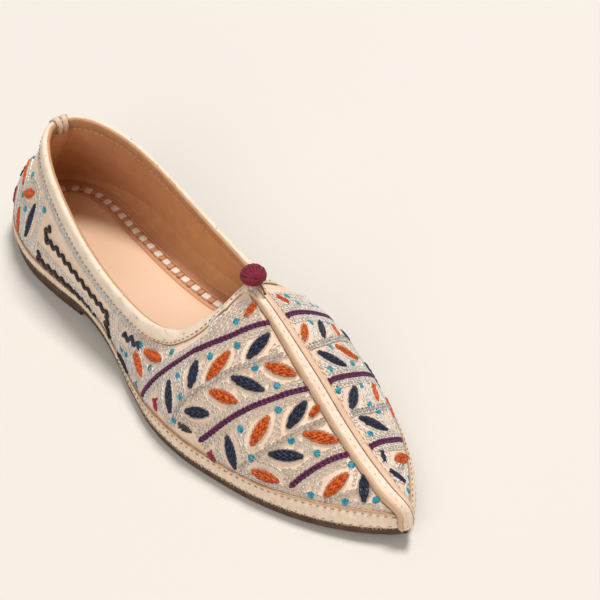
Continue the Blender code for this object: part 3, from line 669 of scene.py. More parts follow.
def strip_rows(side, start_width, width, profile):
    """Rows of points along a strip, for a profile of (share of width, height)."""
    line, out, gone, toe = middle_line()
    rows = []
    for k in range(len(line)):
        left = gone[-1] - gone[k]
        wide = mix(start_width, width, float(ease(gone[k], 0, 0.045)))
        wide = mix(TOE_STRIP if width > TOE_STRIP else width, wide, float(ease(left, toe, toe + 0.012)))
        over_rand = 0.0016 * (1 - float(ease(left, toe, toe + 0.010)))
        row = []
        for share, height in profile:
            across = Vector((side * (0.0002 + (wide - 0.0002) * share), 0, 0))
            start = Vector(line[k] + out[k] * 0.02) + across
            hit, facing = SKIN.ray_cast(start, Vector(-out[k]))[:2]
            if hit is None:
                hit, facing = SKIN.find_nearest(Vector(line[k]) + across)[:2]
            lean = max(abs(facing.dot(Vector(out[k]))), 0.70)
            row.append(np.array(hit) + out[k] * (over_rand / lean + height))
        rows.append(row)
    return np.array(rows)


def strip(*sizes):
    """Leather strip beside the middle line."""
    rows = strip_rows(*sizes)
    ends = np.stack([rows[0].mean(0) * np.ones_like(rows[0]), rows[-1].mean(0) * np.ones_like(rows[0])])
    return closed(swept(np.concatenate([ends[:1], rows, ends[1:]])))


WIDE_PROFILE = [(0.0, 0.0002), (0.0, 0.0010), (0.03, 0.0013), (0.12, 0.0014), (0.40, 0.0014), (0.64, 0.0014),
                (0.70, 0.0012), (0.73, 0.0009), (0.73, 0.0003), (0.4, 0.0002)]
ROLL_PROFILE = [(0.70, 0.0002), (0.70, 0.0010), (0.73, 0.0016), (0.78, 0.0020), (0.84, 0.0022), (0.90, 0.0020),
                (0.96, 0.0015), (1.0, 0.0009), (1.0, 0.0003), (0.84, 0.0002)]
NARROW_PROFILE = [(0.0, 0.0002), (0.0, 0.0009), (0.05, 0.0012), (0.3, 0.0013), (0.7, 0.0013), (0.93, 0.0012),
                  (1.0, 0.0008), (1.0, 0.0002), (0.5, 0.0002)]
wide_strip = piece("ridge_strip_wide", strip(-1, WIDE_START, WIDE, WIDE_PROFILE), CREAM,
                   ["spine_strip_wide"])
# the roll: the strip's cream leather painted darker, as painted shade on the roll
ROLL_SHADED_LEATHER = finish("rolled edge painted shade", paint(222, 188, 158), paint(200, 164, 132), 0.5, 120, 1600, 0.00008, 0.05, 0.04,
                pores=0.3, creases=0.0005)
rolled_edge = piece("ridge_strip_roll", strip(-1, WIDE_START, WIDE, ROLL_PROFILE), ROLL_SHADED_LEATHER)
narrow_strip = piece("ridge_strip_narrow", strip(1, NARROW_START, NARROW, NARROW_PROFILE), FOLDED,
                     ["spine_strip_narrow"])

# %% [markdown]
# ## Thread
# Nearly all the colour on this shoe is chain stitch. A loop of thread is pulled up through the
# leather and the next loop holds it down, so a full row looks like a plait, and a fine row of
# silver thread like a little open chain. Three small shapes are enough for all of it: a spindle
# for one leg of a stitch, an open link, and a rounded bar. They are laid by the thousand, so each
# has only a few dozen faces.

# %% Small shapes, and laying them
RNG = np.random.default_rng(5)
BASKETS = {}


def as_shape(bm):
    """Vertices and faces of a small shape, ready to be laid many times."""
    bmesh.ops.recalc_face_normals(bm, faces=bm.faces)
    bm.verts.index_update()
    shape = np.array([vert.co for vert in bm.verts]), [[vert.index for vert in face.verts] for face in bm.faces]
    bm.free()
    return shape


def spindle():
    """One leg of a stitch: 1 long, 1 wide and 1 high."""
    bm = bmesh.new()
    bmesh.ops.create_uvsphere(bm, u_segments=6, v_segments=5, radius=0.5)
    bmesh.ops.rotate(bm, verts=bm.verts, matrix=Matrix.Rotation(math.pi / 2, 3, "Y"))
    return as_shape(bm)


def link():
    """One open loop of chain, narrower where the next loop passes through it."""
    bm = bmesh.new()
    bmesh.ops.create_circle(bm, segments=3, radius=0.19)
    bmesh.ops.rotate(bm, verts=bm.verts, matrix=Matrix.Rotation(math.pi / 2, 3, "X"))
    bmesh.ops.translate(bm, verts=bm.verts, vec=(0.8, 0, 0))
    bmesh.ops.spin(bm, geom=bm.verts[:] + bm.edges[:], cent=(0, 0, 0), axis=(0, 0, 1), angle=2 * math.pi,
                   steps=9, use_merge=True, use_duplicate=False)
    for vert in bm.verts:
        vert.co = (vert.co.x / 2, vert.co.y / 2 * (1 - 0.35 * vert.co.x), vert.co.z / 0.4)
    return as_shape(bm)


def rounded_bar():
    bm = bmesh.new()
    bmesh.ops.create_cube(bm, size=1.0)
    bmesh.ops.bevel(bm, geom=bm.edges[:], offset=0.22, offset_type="OFFSET", segments=2, profile=0.5,
                    affect="EDGES", material=-1)
    return as_shape(bm)


STITCH, LINK, BAR = spindle(), link(), rounded_bar()


def lay(basket, shape, spots, ahead, out, size):
    """Lays copies of a shape at spots, each turned along its own way, into a basket."""
    verts = shape[0]
    size = np.broadcast_to(size, (len(spots), 3))
    across = unit(np.cross(out, ahead))
    ahead = np.cross(across, out)
    placed = (spots[:, None] + verts[None, :, 0:1] * (ahead * size[:, 0:1])[:, None]
              + verts[None, :, 1:2] * (across * size[:, 1:2])[:, None]
              + verts[None, :, 2:3] * (out * size[:, 2:3])[:, None])
    BASKETS.setdefault(basket, []).append((placed, shape[1]))


def sew(basket, material, replaced=()):
    """Joins everything in a basket into one piece."""
    points, faces, start = [], [], 0
    for placed, shape_faces in BASKETS.pop(basket):
        for k in range(len(placed)):
            faces += [[start + i for i in face] for face in shape_faces]
            start += placed.shape[1]
        points.append(placed.reshape(-1, 3))
    mesh = bpy.data.meshes.new(basket)
    mesh.from_pydata(np.concatenate(points).tolist(), [], faces)
    bm = bmesh.new()
    bm.from_mesh(mesh)
    bpy.data.meshes.remove(mesh)
    return piece(basket, bm, material, replaced)


print("faces of a stitch, a link, a bar:", [len(shape[1]) for shape in (STITCH, LINK, BAR)])

# %% [markdown]
# ## Lines on the leather
# A line of stitching is charted as a few (row, height) pairs. It is drawn smoothly through them,
# stepped sideways over the leather for its neighbours, and stitches stand on it at an even pace.

# %% Lines, neighbours and paces
def seated(points):
    """The nearest points on the leather, and the way out of it at each."""
    hits = [nearest_on_skin(point) for point in points]
    return np.array([hit[0] for hit in hits]), np.array([hit[1] for hit in hits])


def charted(points, side):
    """Fine points on the leather along a smooth line through charted pairs."""
    spots = leather(*np.array(points, float).T, side)
    fine = np.linspace(0, len(points) - 1, 24 * (len(points) - 1) + 1)
    return seated(np.stack([smooth(spots[:, k], fine) for k in range(3)], 1))[0]


def beside(line, step):
    """A line moved sideways over the leather."""
    spots, out = seated(line)
    along = unit(np.gradient(line, axis=0))
    return seated(spots + np.cross(out, along) * np.broadcast_to(step, (len(line),))[:, None])[0]


def paced(line, pace):
    """Places at an even pace along a line, the way ahead there, and the share of the line gone."""
    gone = np.concatenate([[0], np.cumsum(np.linalg.norm(np.diff(line, axis=0), axis=1) + 1e-9)])
    count = max(int(round(gone[-1] / pace)), 1)
    at = (np.arange(count) + 0.5) / count * gone[-1]
    steep = np.gradient(line, gone, axis=0)
    pick = lambda values: np.stack([np.interp(at, gone, values[:, k]) for k in range(3)], 1)
    return pick(line), unit(pick(steep)), at / gone[-1]


TAKEN = []


def free_of(spots, away):
    """True for each spot that keeps a distance from all that is laid already."""
    if not TAKEN:
        return np.full(len(spots), True)
    laid = np.concatenate(TAKEN)
    middle = spots.mean(0)
    reach = np.linalg.norm(spots - middle, axis=1).max() + away
    near = laid[np.linalg.norm(laid - middle, axis=1) < reach]
    if not len(near):
        return np.full(len(spots), True)
    return np.linalg.norm(spots[:, None] - near[None], axis=2).min(1) > away


def chain(basket, line, size=(0.0020, 0.0011, 0.0006), pace=0.0015, away=0.0):
    """Row of open links along a line, a little uneven as handwork is."""
    spots, ahead, share = paced(line, pace)
    spots, out = seated(spots)
    if away:
        fine = free_of(spots, away)
        spots, ahead, out = spots[fine], ahead[fine], out[fine]
    if not len(spots):
        return
    TAKEN.append(spots)
    ahead = unit(ahead + np.cross(out, ahead) * RNG.normal(0, 0.12, (len(spots), 1)))
    size = np.array(size) * np.clip(RNG.normal(1, 0.10, (len(spots), 3)), 0.7, 1.3)
    lay(basket, LINK, spots + out * 0.00025, ahead, out, size)


def plait(basket, line, width, pace, high, slants=(0.5, 0.5)):
    """Row of full chain stitch: pairs of slanted stitches along a line; width may follow the share gone."""
    spots, ahead, share = paced(line, pace)
    spots, out = seated(spots)
    across = np.cross(out, ahead)
    wide = np.atleast_1d(width(share) if callable(width) else width) * np.ones(len(spots))
    for turn, slant in zip((-1, 1), slants):
        way = unit(ahead - across * turn * slant + RNG.normal(0, 0.05, spots.shape))
        size = np.stack([np.full(len(spots), pace * 1.5), wide * 0.60, np.full(len(spots), high * 1.2)], 1)
        lay(basket, STITCH, spots + across * turn * wide[:, None] * 0.23 + out * high * 0.32, way, out, size)
    TAKEN.append(spots)


def rope(basket, line, width):
    """Couched rope: fat stitches that overlap along a line."""
    spots, ahead, share = paced(line, width * 0.5)
    spots, out = seated(spots)
    lay(basket, STITCH, spots + out * width * 0.25, ahead, out, (width * 1.5, width * 0.95, width * 0.8))
    TAKEN.append(spots)

# %% [markdown]
# ## The chart of the embroidery
# Each leaf is charted from tip to tip as row, height, row, height, and so are cords and stems.
# The maker worked both sides of the shoe from one pattern by hand, so the sides are alike but
# not equal. Where the photograph hides the far side, the near side's pattern is mirrored.

# %% Leaves, cords, stems and knots
NEAR_LEAVES = {
    "rust": [(14.65, 0.80, 14.58, 0.93), (10.10, 0.56, 11.47, 0.52), (9.77, 0.44, 10.93, 0.28),
             (14.83, 0.43, 14.92, 0.61), (15.88, 0.72, 16.58, 0.85), (15.07, 0.40, 15.88, 0.46),
             (17.48, 0.76, 17.42, 0.90), (16.78, 0.33, 16.75, 0.54), (17.62, 0.64, 18.32, 0.83),
             (17.07, 0.18, 17.80, 0.23), (19.03, 0.32, 19.10, 0.68)],
    "navy": [(8.97, 0.08, 9.97, 0.08), (15.43, 0.66, 15.43, 0.86),
             (14.45, 0.34, 14.20, 0.46), (13.12, 0.34, 14.10, 0.16), (15.38, 0.53, 16.27, 0.62),
             (14.62, 0.23, 15.37, 0.31), (17.28, 0.58, 17.17, 0.80), (16.08, 0.28, 16.62, 0.12),
             (17.27, 0.36, 17.97, 0.52), (19.45, 0.81, 20.07, 0.48)],
}
HEEL_LEAVES = {
    "rust": [(1.80, 0.54, 3.23, 0.48), (3.60, 0.46, 4.07, 0.63), (3.80, 0.33, 4.17, 0.10)],
    "navy": [(4.42, 0.59, 4.72, 0.21), (1.0, 0.50, 2.1, 0.34)],
}
FAR_LEAVES = {
    "rust": [(14.60, 0.86, 14.83, 0.78), (15.52, 0.78, 15.98, 0.90), (15.17, 0.46, 15.58, 0.47),
             (16.08, 0.61, 16.25, 0.41), (17.00, 0.39, 17.55, 0.46), (19.42, 0.59, 19.13, 0.22)],
    "navy": [(15.27, 0.59, 15.87, 0.68), (16.33, 0.84, 16.70, 0.63), (17.27, 0.66, 17.80, 0.84),
             (18.05, 0.81, 18.43, 0.51), (19.08, 0.75, 19.40, 0.78), (19.75, 0.78, 20.27, 0.52)],
}
SLIVERS = {"crimson": [(12.62, 0.19, 13.02, 0.12), (15.75, 0.12, 16.0, 0.08), (2.6, 0.30, 3.0, 0.18)],
           "black": [(14.55, 0.14, 15.05, 0.16)]}
NEAR_CORDS = [[(15.23, 0.91), (14.95, 0.78), (14.65, 0.66), (14.27, 0.56), (13.55, 0.49), (12.47, 0.44),
               (11.73, 0.26), (11.42, 0.10)],
              [(17.02, 0.89), (16.77, 0.74), (16.52, 0.61), (16.23, 0.49), (15.92, 0.36),
               (15.6, 0.22), (15.37, 0.14)],
              [(18.75, 0.86), (18.52, 0.66), (18.32, 0.46), (18.17, 0.30), (18.12, 0.24)]]
FAR_CORDS = [[(15.30, 0.93), (15.22, 0.84), (15.12, 0.73), (14.83, 0.48), (14.30, 0.26), (13.8, 0.10)],
             [(17.12, 0.94), (17.05, 0.82), (16.92, 0.58), (16.55, 0.28), (16.3, 0.14)],
             [(18.88, 0.92), (18.80, 0.72), (18.72, 0.48), (18.55, 0.24)]]
NEAR_STEMS = [[(16.1, 0.90), (15.33, 0.57), (15.0, 0.44), (14.47, 0.28), (14.3, 0.15)],
         [(17.78, 0.89), (17.52, 0.64), (17.33, 0.47), (16.93, 0.24), (16.75, 0.14)],
         [(20.4, 0.80), (19.75, 0.60), (19.35, 0.40), (19.1, 0.26)]]
FAR_STEMS = [[(16.2, 0.93), (16.12, 0.82), (16.0, 0.69), (15.62, 0.46), (15.25, 0.25), (15.0, 0.14)],
             [(17.95, 0.93), (17.9, 0.80), (17.85, 0.60), (17.57, 0.32), (17.4, 0.18)],
             [(20.4, 0.80), (19.85, 0.62), (19.5, 0.45)]]
ZIGZAGS = {"black_zigzags": [[(5.30, 0.62), (5.40, 0.47), (5.87, 0.50), (6.45, 0.48), (7.17, 0.43),
                              (7.67, 0.44), (8.03, 0.43), (8.14, 0.21), (8.38, 0.04)],
                             [(5.36, 0.22), (5.46, 0.13), (5.9, 0.14), (6.3, 0.13), (6.9, 0.10), (7.6, 0.06)]],
           "navy_leaves": [[(8.87, 0.48), (9.3, 0.56), (9.78, 0.55)]]}
NEAR_KNOTS = [(14.52, 0.74), (11.67, 0.62), (11.05, 0.41), (10.72, 0.12), (9.13, 0.24), (9.72, 0.60), (9.45, 0.26),
              (15.0, 0.66), (14.5, 0.52), (13.65, 0.36), (14.27, 0.27), (15.73, 0.66), (16.43, 0.70),
              (14.3, 0.14), (16.83, 0.61), (16.32, 0.36), (16.92, 0.26), (18.17, 0.62), (17.52, 0.54),
              (18.68, 0.27), (20.38, 0.60), (19.57, 0.37), (19.0, 0.78)]
HEEL_KNOTS = [(3.3, 0.65), (3.52, 0.42), (4.1, 0.40), (3.58, 0.06), (4.83, 0.66), (4.35, 0.05), (2.2, 0.62)]
FAR_KNOTS = [(14.75, 0.69), (15.42, 0.70), (15.17, 0.51), (16.15, 0.66), (16.53, 0.52), (16.78, 0.81),
             (16.08, 0.36), (17.33, 0.86), (17.22, 0.58), (17.72, 0.59), (17.88, 0.51), (18.52, 0.77),
             (20.0, 0.33), (20.65, 0.46)]
DIVIDERS = [[(4.50, 0.72), (4.88, 0.54), (5.05, 0.32), (5.12, 0.05)], [(8.02, 0.71), (8.35, 0.35), (8.62, 0.03)],
            [(8.42, 0.70), (8.70, 0.40), (8.93, 0.08)]]
LOW_BAND = [(5.25, 0.28), (5.87, 0.28), (6.42, 0.24), (7.08, 0.17), (7.8, 0.10), (8.25, 0.09)]
LEAF_WIDTH, CORD_WIDTH = 0.0042, 0.0018

BORDER = []
for item in (rand, binding, wide_strip, rolled_edge, narrow_strip):
    BORDER.append(np.array([vert.co for vert in item.data.vertices]))
TAKEN += BORDER


def leaf(basket, ends, side, width=LEAF_WIDTH, rows=(0, -1, 1)):
    """Pointed leaf filled with plaits; returns its frame for the rows of chain round it."""
    tips = [leather(ends[0], ends[1], side), leather(ends[2], ends[3], side)]
    middle, out = nearest_on_skin((tips[0] + tips[1]) / 2)
    half = np.linalg.norm(tips[1] - tips[0]) / 2
    ahead = tips[1] - tips[0]
    ahead = unit(ahead - out * (ahead @ out))
    across = np.cross(out, ahead)
    width = min(width, half * 0.78)
    lay(basket, STITCH, (middle + out * 0.0002)[None], ahead[None], out[None], (half * 1.84, width * 0.84, 0.0006))
    for row in rows:
        share = np.linspace(-0.90, 0.90, 26)
        wide = width / 2 * (1 - np.abs(share) ** 2.5)
        line = middle + np.outer(share * half, ahead) + np.outer(row * 0.60 * wide, across)
        plait(basket, seated(line)[0], lambda gone: width / len(rows) * (0.40 + 0.80 * np.sin(math.pi * gone)),
              0.0024, 0.0011 if row else 0.0016, {-1: (0.05, 0.5), 0: (0.5, 0.5), 1: (0.5, 0.05)}[row])
    for end in (-1, 1):
        spot = middle + ahead * end * half * 0.86 + out * 0.0004
        lay(basket, STITCH, spot[None], ahead[None], out[None], (half * 0.36, width * 0.34, 0.0011))
    return middle, ahead, across, half, width


def round_leaf(frame, gap):
    """Closed line round a leaf at a gap from it."""
    middle, ahead, across, half, width = frame
    turn = np.linspace(0, 2 * math.pi, 70)
    share = np.cos(turn)
    wide = (width / 2 + gap) * np.sign(np.sin(turn)) * np.abs(np.sin(turn)) ** 1.25
    return seated(middle + np.outer(share * (half + gap * 1.2), ahead) + np.outer(wide, across))[0]


def knot(place, side):
    """Small diamond of four satin stitches."""
    middle, out = nearest_on_skin(leather(*place, side))
    turn = RNG.uniform(0, math.pi)
    start = unit(np.cross(out, (0.3, 0.2, 1.0)))
    ahead = start * math.cos(turn) + np.cross(out, start) * math.sin(turn)
    across = np.cross(out, ahead)
    for k, length in enumerate((0.0019, 0.0028, 0.0029, 0.0019)):
        spot = middle + across * (k - 1.5) * 0.00056 + out * 0.00025
        lay("teal_knots", STITCH, spot[None], ahead[None], out[None], (length, 0.0009, 0.0010))
    TAKEN.append(middle[None])

# %% [markdown]
# ## Sewing it
# Cords first, with two silver chains along each side. Then the stems, the leaves and the knots,
# and last the silver chains that run round every leaf and fill the ground between. A link is left
# out where something lies already, which is also how the embroiderer's needle finds its way.

# %% Cords, stems, bands and zigzags
for side in (-1, 1):
    for points in NEAR_CORDS if side < 0 else FAR_CORDS:
        line = charted(points, side)
        plait("plum_cords", line, CORD_WIDTH, 0.0017, 0.0012)
        for step in (0.0017, 0.0032):
            for hand in (-1, 1):
                chain("silver_chains", beside(line, step * hand), (0.0026, 0.0015, 0.0009), 0.0021, 0.0010)
    for step in (0.0049, 0.0066, 0.0083, 0.0100):
        for hand in (-1, 1):
            first_cord = charted((NEAR_CORDS if side < 0 else FAR_CORDS)[0][:4], side)
            line = beside(first_cord, step * hand)
            behind = line[:, 1] > first_cord[:, 1]
            if behind.all():
                chain("silver_chains", line, (0.0025, 0.0014, 0.0008), 0.0021, 0.0011)
    for points in NEAR_STEMS if side < 0 else FAR_STEMS:
        line = charted(points, side)
        for step in (-0.0006, 0.0006):
            chain("grey_stems", beside(line, step), (0.0026, 0.0013, 0.0013), 0.0019, 0.0006)
    for depth in (0.0060, 0.0074, 0.0088):
        t = np.linspace(0.02, THROAT - 0.1, 300)
        line = leather(t, v_at(t, depth, True), side)
        chain("silver_chains", line, (0.0023, 0.0013, 0.0008), 0.0019, 0.0008)
    for points in DIVIDERS:
        line = charted(points, side)
        for step in (-0.0008, 0.0008):
            chain("silver_chains", beside(line, step), (0.0024, 0.0014, 0.0009), 0.0020, 0.0009)
    line = charted(LOW_BAND, side)
    for step in (-0.0008, 0.0008):
        chain("silver_chains", beside(line, step), (0.0024, 0.0014, 0.0009), 0.0020, 0.0009)
    t = np.linspace(17.0, LAST - 0.9, 200)
    for step in (0.0013, 0.0028):
        line = leather(t, v_at(t, CLEARANCE + band_height(t) + step), side)
        chain("silver_chains", line, (0.0026, 0.0015, 0.0008), 0.0021, 0.0011)
    for basket, rows in ZIGZAGS.items():
        for points in rows:
            spots = paced(charted(points, side), 0.00025)[0]
            wave = np.arcsin(np.sin(np.arange(len(spots)) * 0.00025 / 0.0048 * 2 * math.pi)) * 2 / math.pi
            rope(basket, beside(spots, wave * 0.0012), 0.0019)

# %% [markdown]
# ## Leaves and knots
# A leaf is three rows of full chain stitch over a flat filling, which keeps the leather from
# showing between the threads. A knot is four short stitches of silk.

# %% Leaves and knots
FRAMES = []
for side, leaves in ((-1, NEAR_LEAVES), (-1, HEEL_LEAVES), (1, FAR_LEAVES), (1, HEEL_LEAVES),
                     (1, {kind: [row for row in rows if row[0] < 14.3 or (row[1] < 0.32 and row[0] < 18)]
                          for kind, rows in NEAR_LEAVES.items()})):
    for kind, rows in leaves.items():
        for ends in rows:
            FRAMES.append(leaf(kind + "_leaves", ends, side))
for side in (-1, 1):
    for kind, rows in SLIVERS.items():
        for ends in rows:
            FRAMES.append(leaf(kind + "_slivers", ends, side, 0.0019, (0,)))
hidden_knots = [place for place in NEAR_KNOTS if place[0] < 14.6]
for side, places in ((-1, NEAR_KNOTS + HEEL_KNOTS), (1, FAR_KNOTS + HEEL_KNOTS), (1, hidden_knots)):
    for place in places:
        knot(place, side)
print("leaves and slivers:", len(FRAMES))

# %% [markdown]
# ## The silver ground
# Every leaf has a fine line close to its edge and up to two rings of bigger loops. Rings that
# meet are cut short, because a link needs free leather.

# %% Silver chains round the leaves and between them
for frame_of_leaf in FRAMES:
    chain("leaf_chains", round_leaf(frame_of_leaf, 0.0003), (0.0017, 0.0007, 0.0007), 0.0015, 0.0)
for gap in (0.0028, 0.0044):
    for frame_of_leaf in FRAMES:
        if frame_of_leaf[3] > 0.0035:
            chain("leaf_chains", round_leaf(frame_of_leaf, gap), (0.0026, 0.0015, 0.0009), 0.0021, 0.0013)
print("places laid:", sum(len(spots) for spots in TAKEN))

# %% [markdown]
# ## Sewing the baskets into pieces
# Each colour of thread becomes one piece with one finish. Thread shines a little, and its colour
# varies over a millimetre or so, as twisted strands do. On the silver threads the darker shade
# is painted dark reflection of the metal, and on the stems it is also painted shade.

# %% Threads
def thread(name, light, dark, rough=0.6, metal=0.0):
    return finish(name, paint(*light), paint(*dark), rough, 1000, 6000, 0.00005, 0.0, 0.0, 0.25, metal)


THREADS = {
    "plum_cords": thread("plum thread", (108, 28, 86), (62, 12, 50)),
    "black_zigzags": thread("black thread", (44, 44, 48), (20, 20, 24)),
    "black_slivers": thread("black sliver thread", (52, 50, 50), (24, 24, 28)),
    "rust_leaves": thread("rust thread", (228, 108, 24), (168, 60, 6)),
    "navy_leaves": thread("navy thread", (42, 50, 78), (18, 22, 40)),
    "crimson_slivers": thread("crimson thread", (168, 36, 66), (116, 18, 44)),
    "teal_knots": thread("teal silk", (6, 172, 196), (0, 108, 138), 0.35),
    # silver threads: the darker shade mixed in is painted dark reflection of the metal
    "silver_chains": thread("silver thread", (255, 255, 254), (222, 213, 202), 0.32),
    "leaf_chains": thread("bright silver thread", (255, 255, 254), (226, 217, 206), 0.32),
    # grey stems: the darker shade is painted shade along the stems and painted dark reflection of the silver
    "grey_stems": thread("grey silver thread", (255, 254, 252), (192, 183, 172), 0.32),
}
for basket, material in THREADS.items():
    sew(basket, material)
print("threads:", len(THREADS))

# %% [markdown]
# ## Inside the shoe
# The foot bed is a tan sock with a paler middle, and between them runs a lacing: short white
# bars, each held by a tan loop. The lining bends over on to the sock at its foot. Places are a
# small table of half widths, because the lacing keeps its own oval, narrower than the sole.

# %% The foot of the lining
LACING_Y = np.array([-112, -98, -75, -50, -30, -12, 0, 12, 18, 31, 43, 55, 69, 82, 89, 95, 101, 106, 110, 112.6,
                     113.4]) / 1000
LACING_X = np.array([0, 9, 17.5, 21.5, 22, 21, 19, 16.8, 15.5, 13.5, 12.7, 13.2, 14.1, 15.4, 15.6, 15.5, 14.6,
                     12.4, 9.2, 4.4, 0]) / 1000
FOOT_Y = np.array([-125, -40, -10, 13, 23, 34, 49, 66, 82, 98, 111, 118, 125]) / 1000
FOOT_INSET = np.array([4.4, 4.6, 6.0, 7.6, 8.0, 8.6, 8.6, 8.6, 8.1, 5.4, 4.4, 4.3, 4.3]) / 1000

t = np.linspace(0, 17, 150)
edge, out = outline(t)
wall_side = leather(t, v_at(t, 0.0075), 1, -(WALL - 0.0003))
foot = edge - out * np.interp(edge[:, 1], FOOT_Y, FOOT_INSET)[:, None]
corner = edge - out * (EDGE_INSET + WALL + 0.0006)
for line, lift in ((foot, 0.0001), (corner, 0.0009)):
    line[:, 2] = insole_top(line[:, 1]) + lift
for line in (wall_side, foot, corner):
    line[0, 0] = 0
q = np.linspace(0, 1, 9)[None, :, None]
cove = (1 - q) ** 2 * wall_side[:, None] + 2 * q * (1 - q) * corner[:, None] + q ** 2 * foot[:, None]
bm = outwards(both_sides(swept(cove, close_ring=False)), Vector((0, 0, -1)))
bmesh.ops.solidify(bm, geom=bm.faces[:], thickness=0.0004)
lining_foot = piece("lining_foot", closed(bm), LINING)

# %% [markdown]
# ## The padded middle
# The pale middle of the sock is lightly padded. Bars of white kid run round it, each under a loop
# of tan leather between two thin rolls. Small dark bars beside them are painted shade in the holes
# of the lacing.

# %% Padded middle and the lacing
def lacing_loop(wider):
    """Half loop of the lacing, and the half widths of the pad that lies inside it."""
    x = LACING_X + wider * ease(LACING_Y, -0.060, 0.0) * (1 - ease(LACING_Y, 0.060, 0.095))
    fine = np.linspace(0, len(x) - 1, 500)
    loop = np.stack([smooth(x, fine), smooth(LACING_Y, fine), 0 * fine], 1)
    loop[[0, -1], 0] = 0
    loop[:, 2] = insole_top(loop[:, 1])
    inward = unit(np.cross((0, 0, 1), np.gradient(loop, axis=0)))
    rim = loop + inward * 0.0034
    rim = rim[(rim[:, 0] > 0) & (rim[:, 1] > -0.104)]
    return loop, rim[np.argsort(rim[:, 1])]


far_loop, far_rim = lacing_loop(0.0)
near_loop, near_rim = lacing_loop(0.0056)
near_widths = np.interp(far_rim[:, 1], near_rim[:, 1], near_rim[:, 0])
rows = sock(far_rim[:, 1], far_rim[:, 0], 0.0008, near_widths)
bm = outwards(closed(swept(rows, close_ring=False)), Vector((0, 0, -1)))
bmesh.ops.solidify(bm, geom=bm.faces[:], thickness=0.0005)
pad = piece("insole_pad", closed(bm), PAD)

rolls = []
for line in (near_loop * (-1, 1, 1), far_loop):
    spots, ahead, share = paced(line, 0.0031)
    spots, ahead = spots[len(spots) % 2:], ahead[len(spots) % 2:]
    out = np.tile((0.0, 0.0, 1.0), (len(spots), 1))
    spots[:, 2] = insole_top(spots[:, 1])
    white, tan = slice(0, None, 2), slice(1, None, 2)
    size = np.array((0.0036, 0.0031, 0.0017)) * RNG.normal(1, 0.04, (len(spots), 3))
    lay("white_bars", BAR, spots[white] + (0, 0, 0.0002), ahead[white], out[white], size[white])
    lay("lacing_loops", BAR, spots[tan] + (0, 0, 0.0003), ahead[tan], out[tan], size[tan] * (0.66, 1.0, 0.85))
    # small dark bars: painted shade in the holes of the lacing
    lay("lacing_hole_shade", BAR, spots + ahead * 0.00165 + (0, 0, 0.0001), ahead, out, (0.0006, 0.0016, 0.0006))
    for step, wide in ((-0.0029, 0.0021), (0.0026, 0.0014)):
        beaded = line + np.cross(unit(np.gradient(line, axis=0)), (0, 0, 1)) * step * math.copysign(1, line[250, 0])
        beaded = beaded[beaded[:, 0] * line[250, 0] > 0]
        rolls.append((beaded, wide))
WHITE_KID = finish("white kid", paint(246, 236, 226), paint(228, 214, 200), 0.5, 300, 2500, 0.00006, 0.1)
sew("white_bars", WHITE_KID)
LACING = finish("lacing leather", paint(212, 158, 118), paint(188, 132, 94), 0.6, 300, 2500, 0.00008, 0.1)
sew("lacing_loops", LACING)
sew("lacing_hole_shade", finish("hole shade", paint(92, 56, 34), paint(60, 34, 20), 0.9, 300, 2500, 0.00008))
bm = bmesh.new()
for line, wide in rolls:
    turns = np.linspace(0, 2 * math.pi, 9)[:-1]
    across = np.cross(unit(np.gradient(line, axis=0)), (0, 0, 1))
    seat = np.stack([line[:, 0], line[:, 1], insole_top(line[:, 1])], 1)
    tube = seat[:, None] + across[:, None] * (np.cos(turns) * wide / 2)[None, :, None] + np.stack(
        [0 * turns, 0 * turns, np.sin(turns) * 0.0006], 1)[None]
    ends = tube[[0, -1]].mean(1, keepdims=True) * np.ones((1, len(turns), 1))
    part = closed(swept(np.concatenate([ends[:1], tube[::4], tube[-1:], ends[1:]])))
    mesh = bpy.data.meshes.new("roll")
    part.to_mesh(mesh)
    part.free()
    bm.from_mesh(mesh)
    bpy.data.meshes.remove(mesh)
piece("lacing_rolls", bm, INNER_BAND)

# %% [markdown]
# ## Stitching of the trims
# Brown thread holds the binding down and shows as a row of dashes near its lower edge; a paler
# row shows in the lining. The cut edge of the leather shows rough and orange inside the rim. At
# the back of the heel a narrow strip covers the seam of the lining.

# %% Rows of stitches on the binding and the lining
COLLAR = collar_line(420)


def on_collar(t, down, away):
    """Points at a distance down the wall from the top line and out of the wall, and the way out."""
    line, downs, outs = [np.stack([np.interp(t, COLLAR[0], values[:, k]) for k in range(3)], 1)
                         for values in COLLAR[1:]]
    spots = line + downs * np.reshape(down, (-1, 1))
    if np.min(down) > 0:
        seats, facing = seated(spots)
        spots, outs = seats, unit(outs + facing)
    spots[:, 0] = np.maximum(spots[:, 0], 0)
    return spots + outs * np.reshape(away, (-1, 1)), outs


def dashes(basket, line, outs, pace, size, wild=0.08, scatter=0.0):
    """Row of separate stitches along a line."""
    gone = np.concatenate([[0], np.cumsum(np.linalg.norm(np.diff(line, axis=0), axis=1) + 1e-9)])
    spots, ahead, share = paced(line, pace)
    out = unit(np.stack([np.interp(share * gone[-1], gone, outs[:, k]) for k in range(3)], 1))
    ahead = unit(ahead + np.cross(out, ahead) * RNG.normal(0, wild, (len(spots), 1)))
    spots = spots + np.cross(out, ahead) * RNG.normal(0, scatter + 1e-9, (len(spots), 1))
    size = np.array(size) * np.clip(RNG.normal(1, 0.15, (len(spots), 3)), 0.6, 1.5)
    lay(basket, STITCH, spots, ahead, out, size)


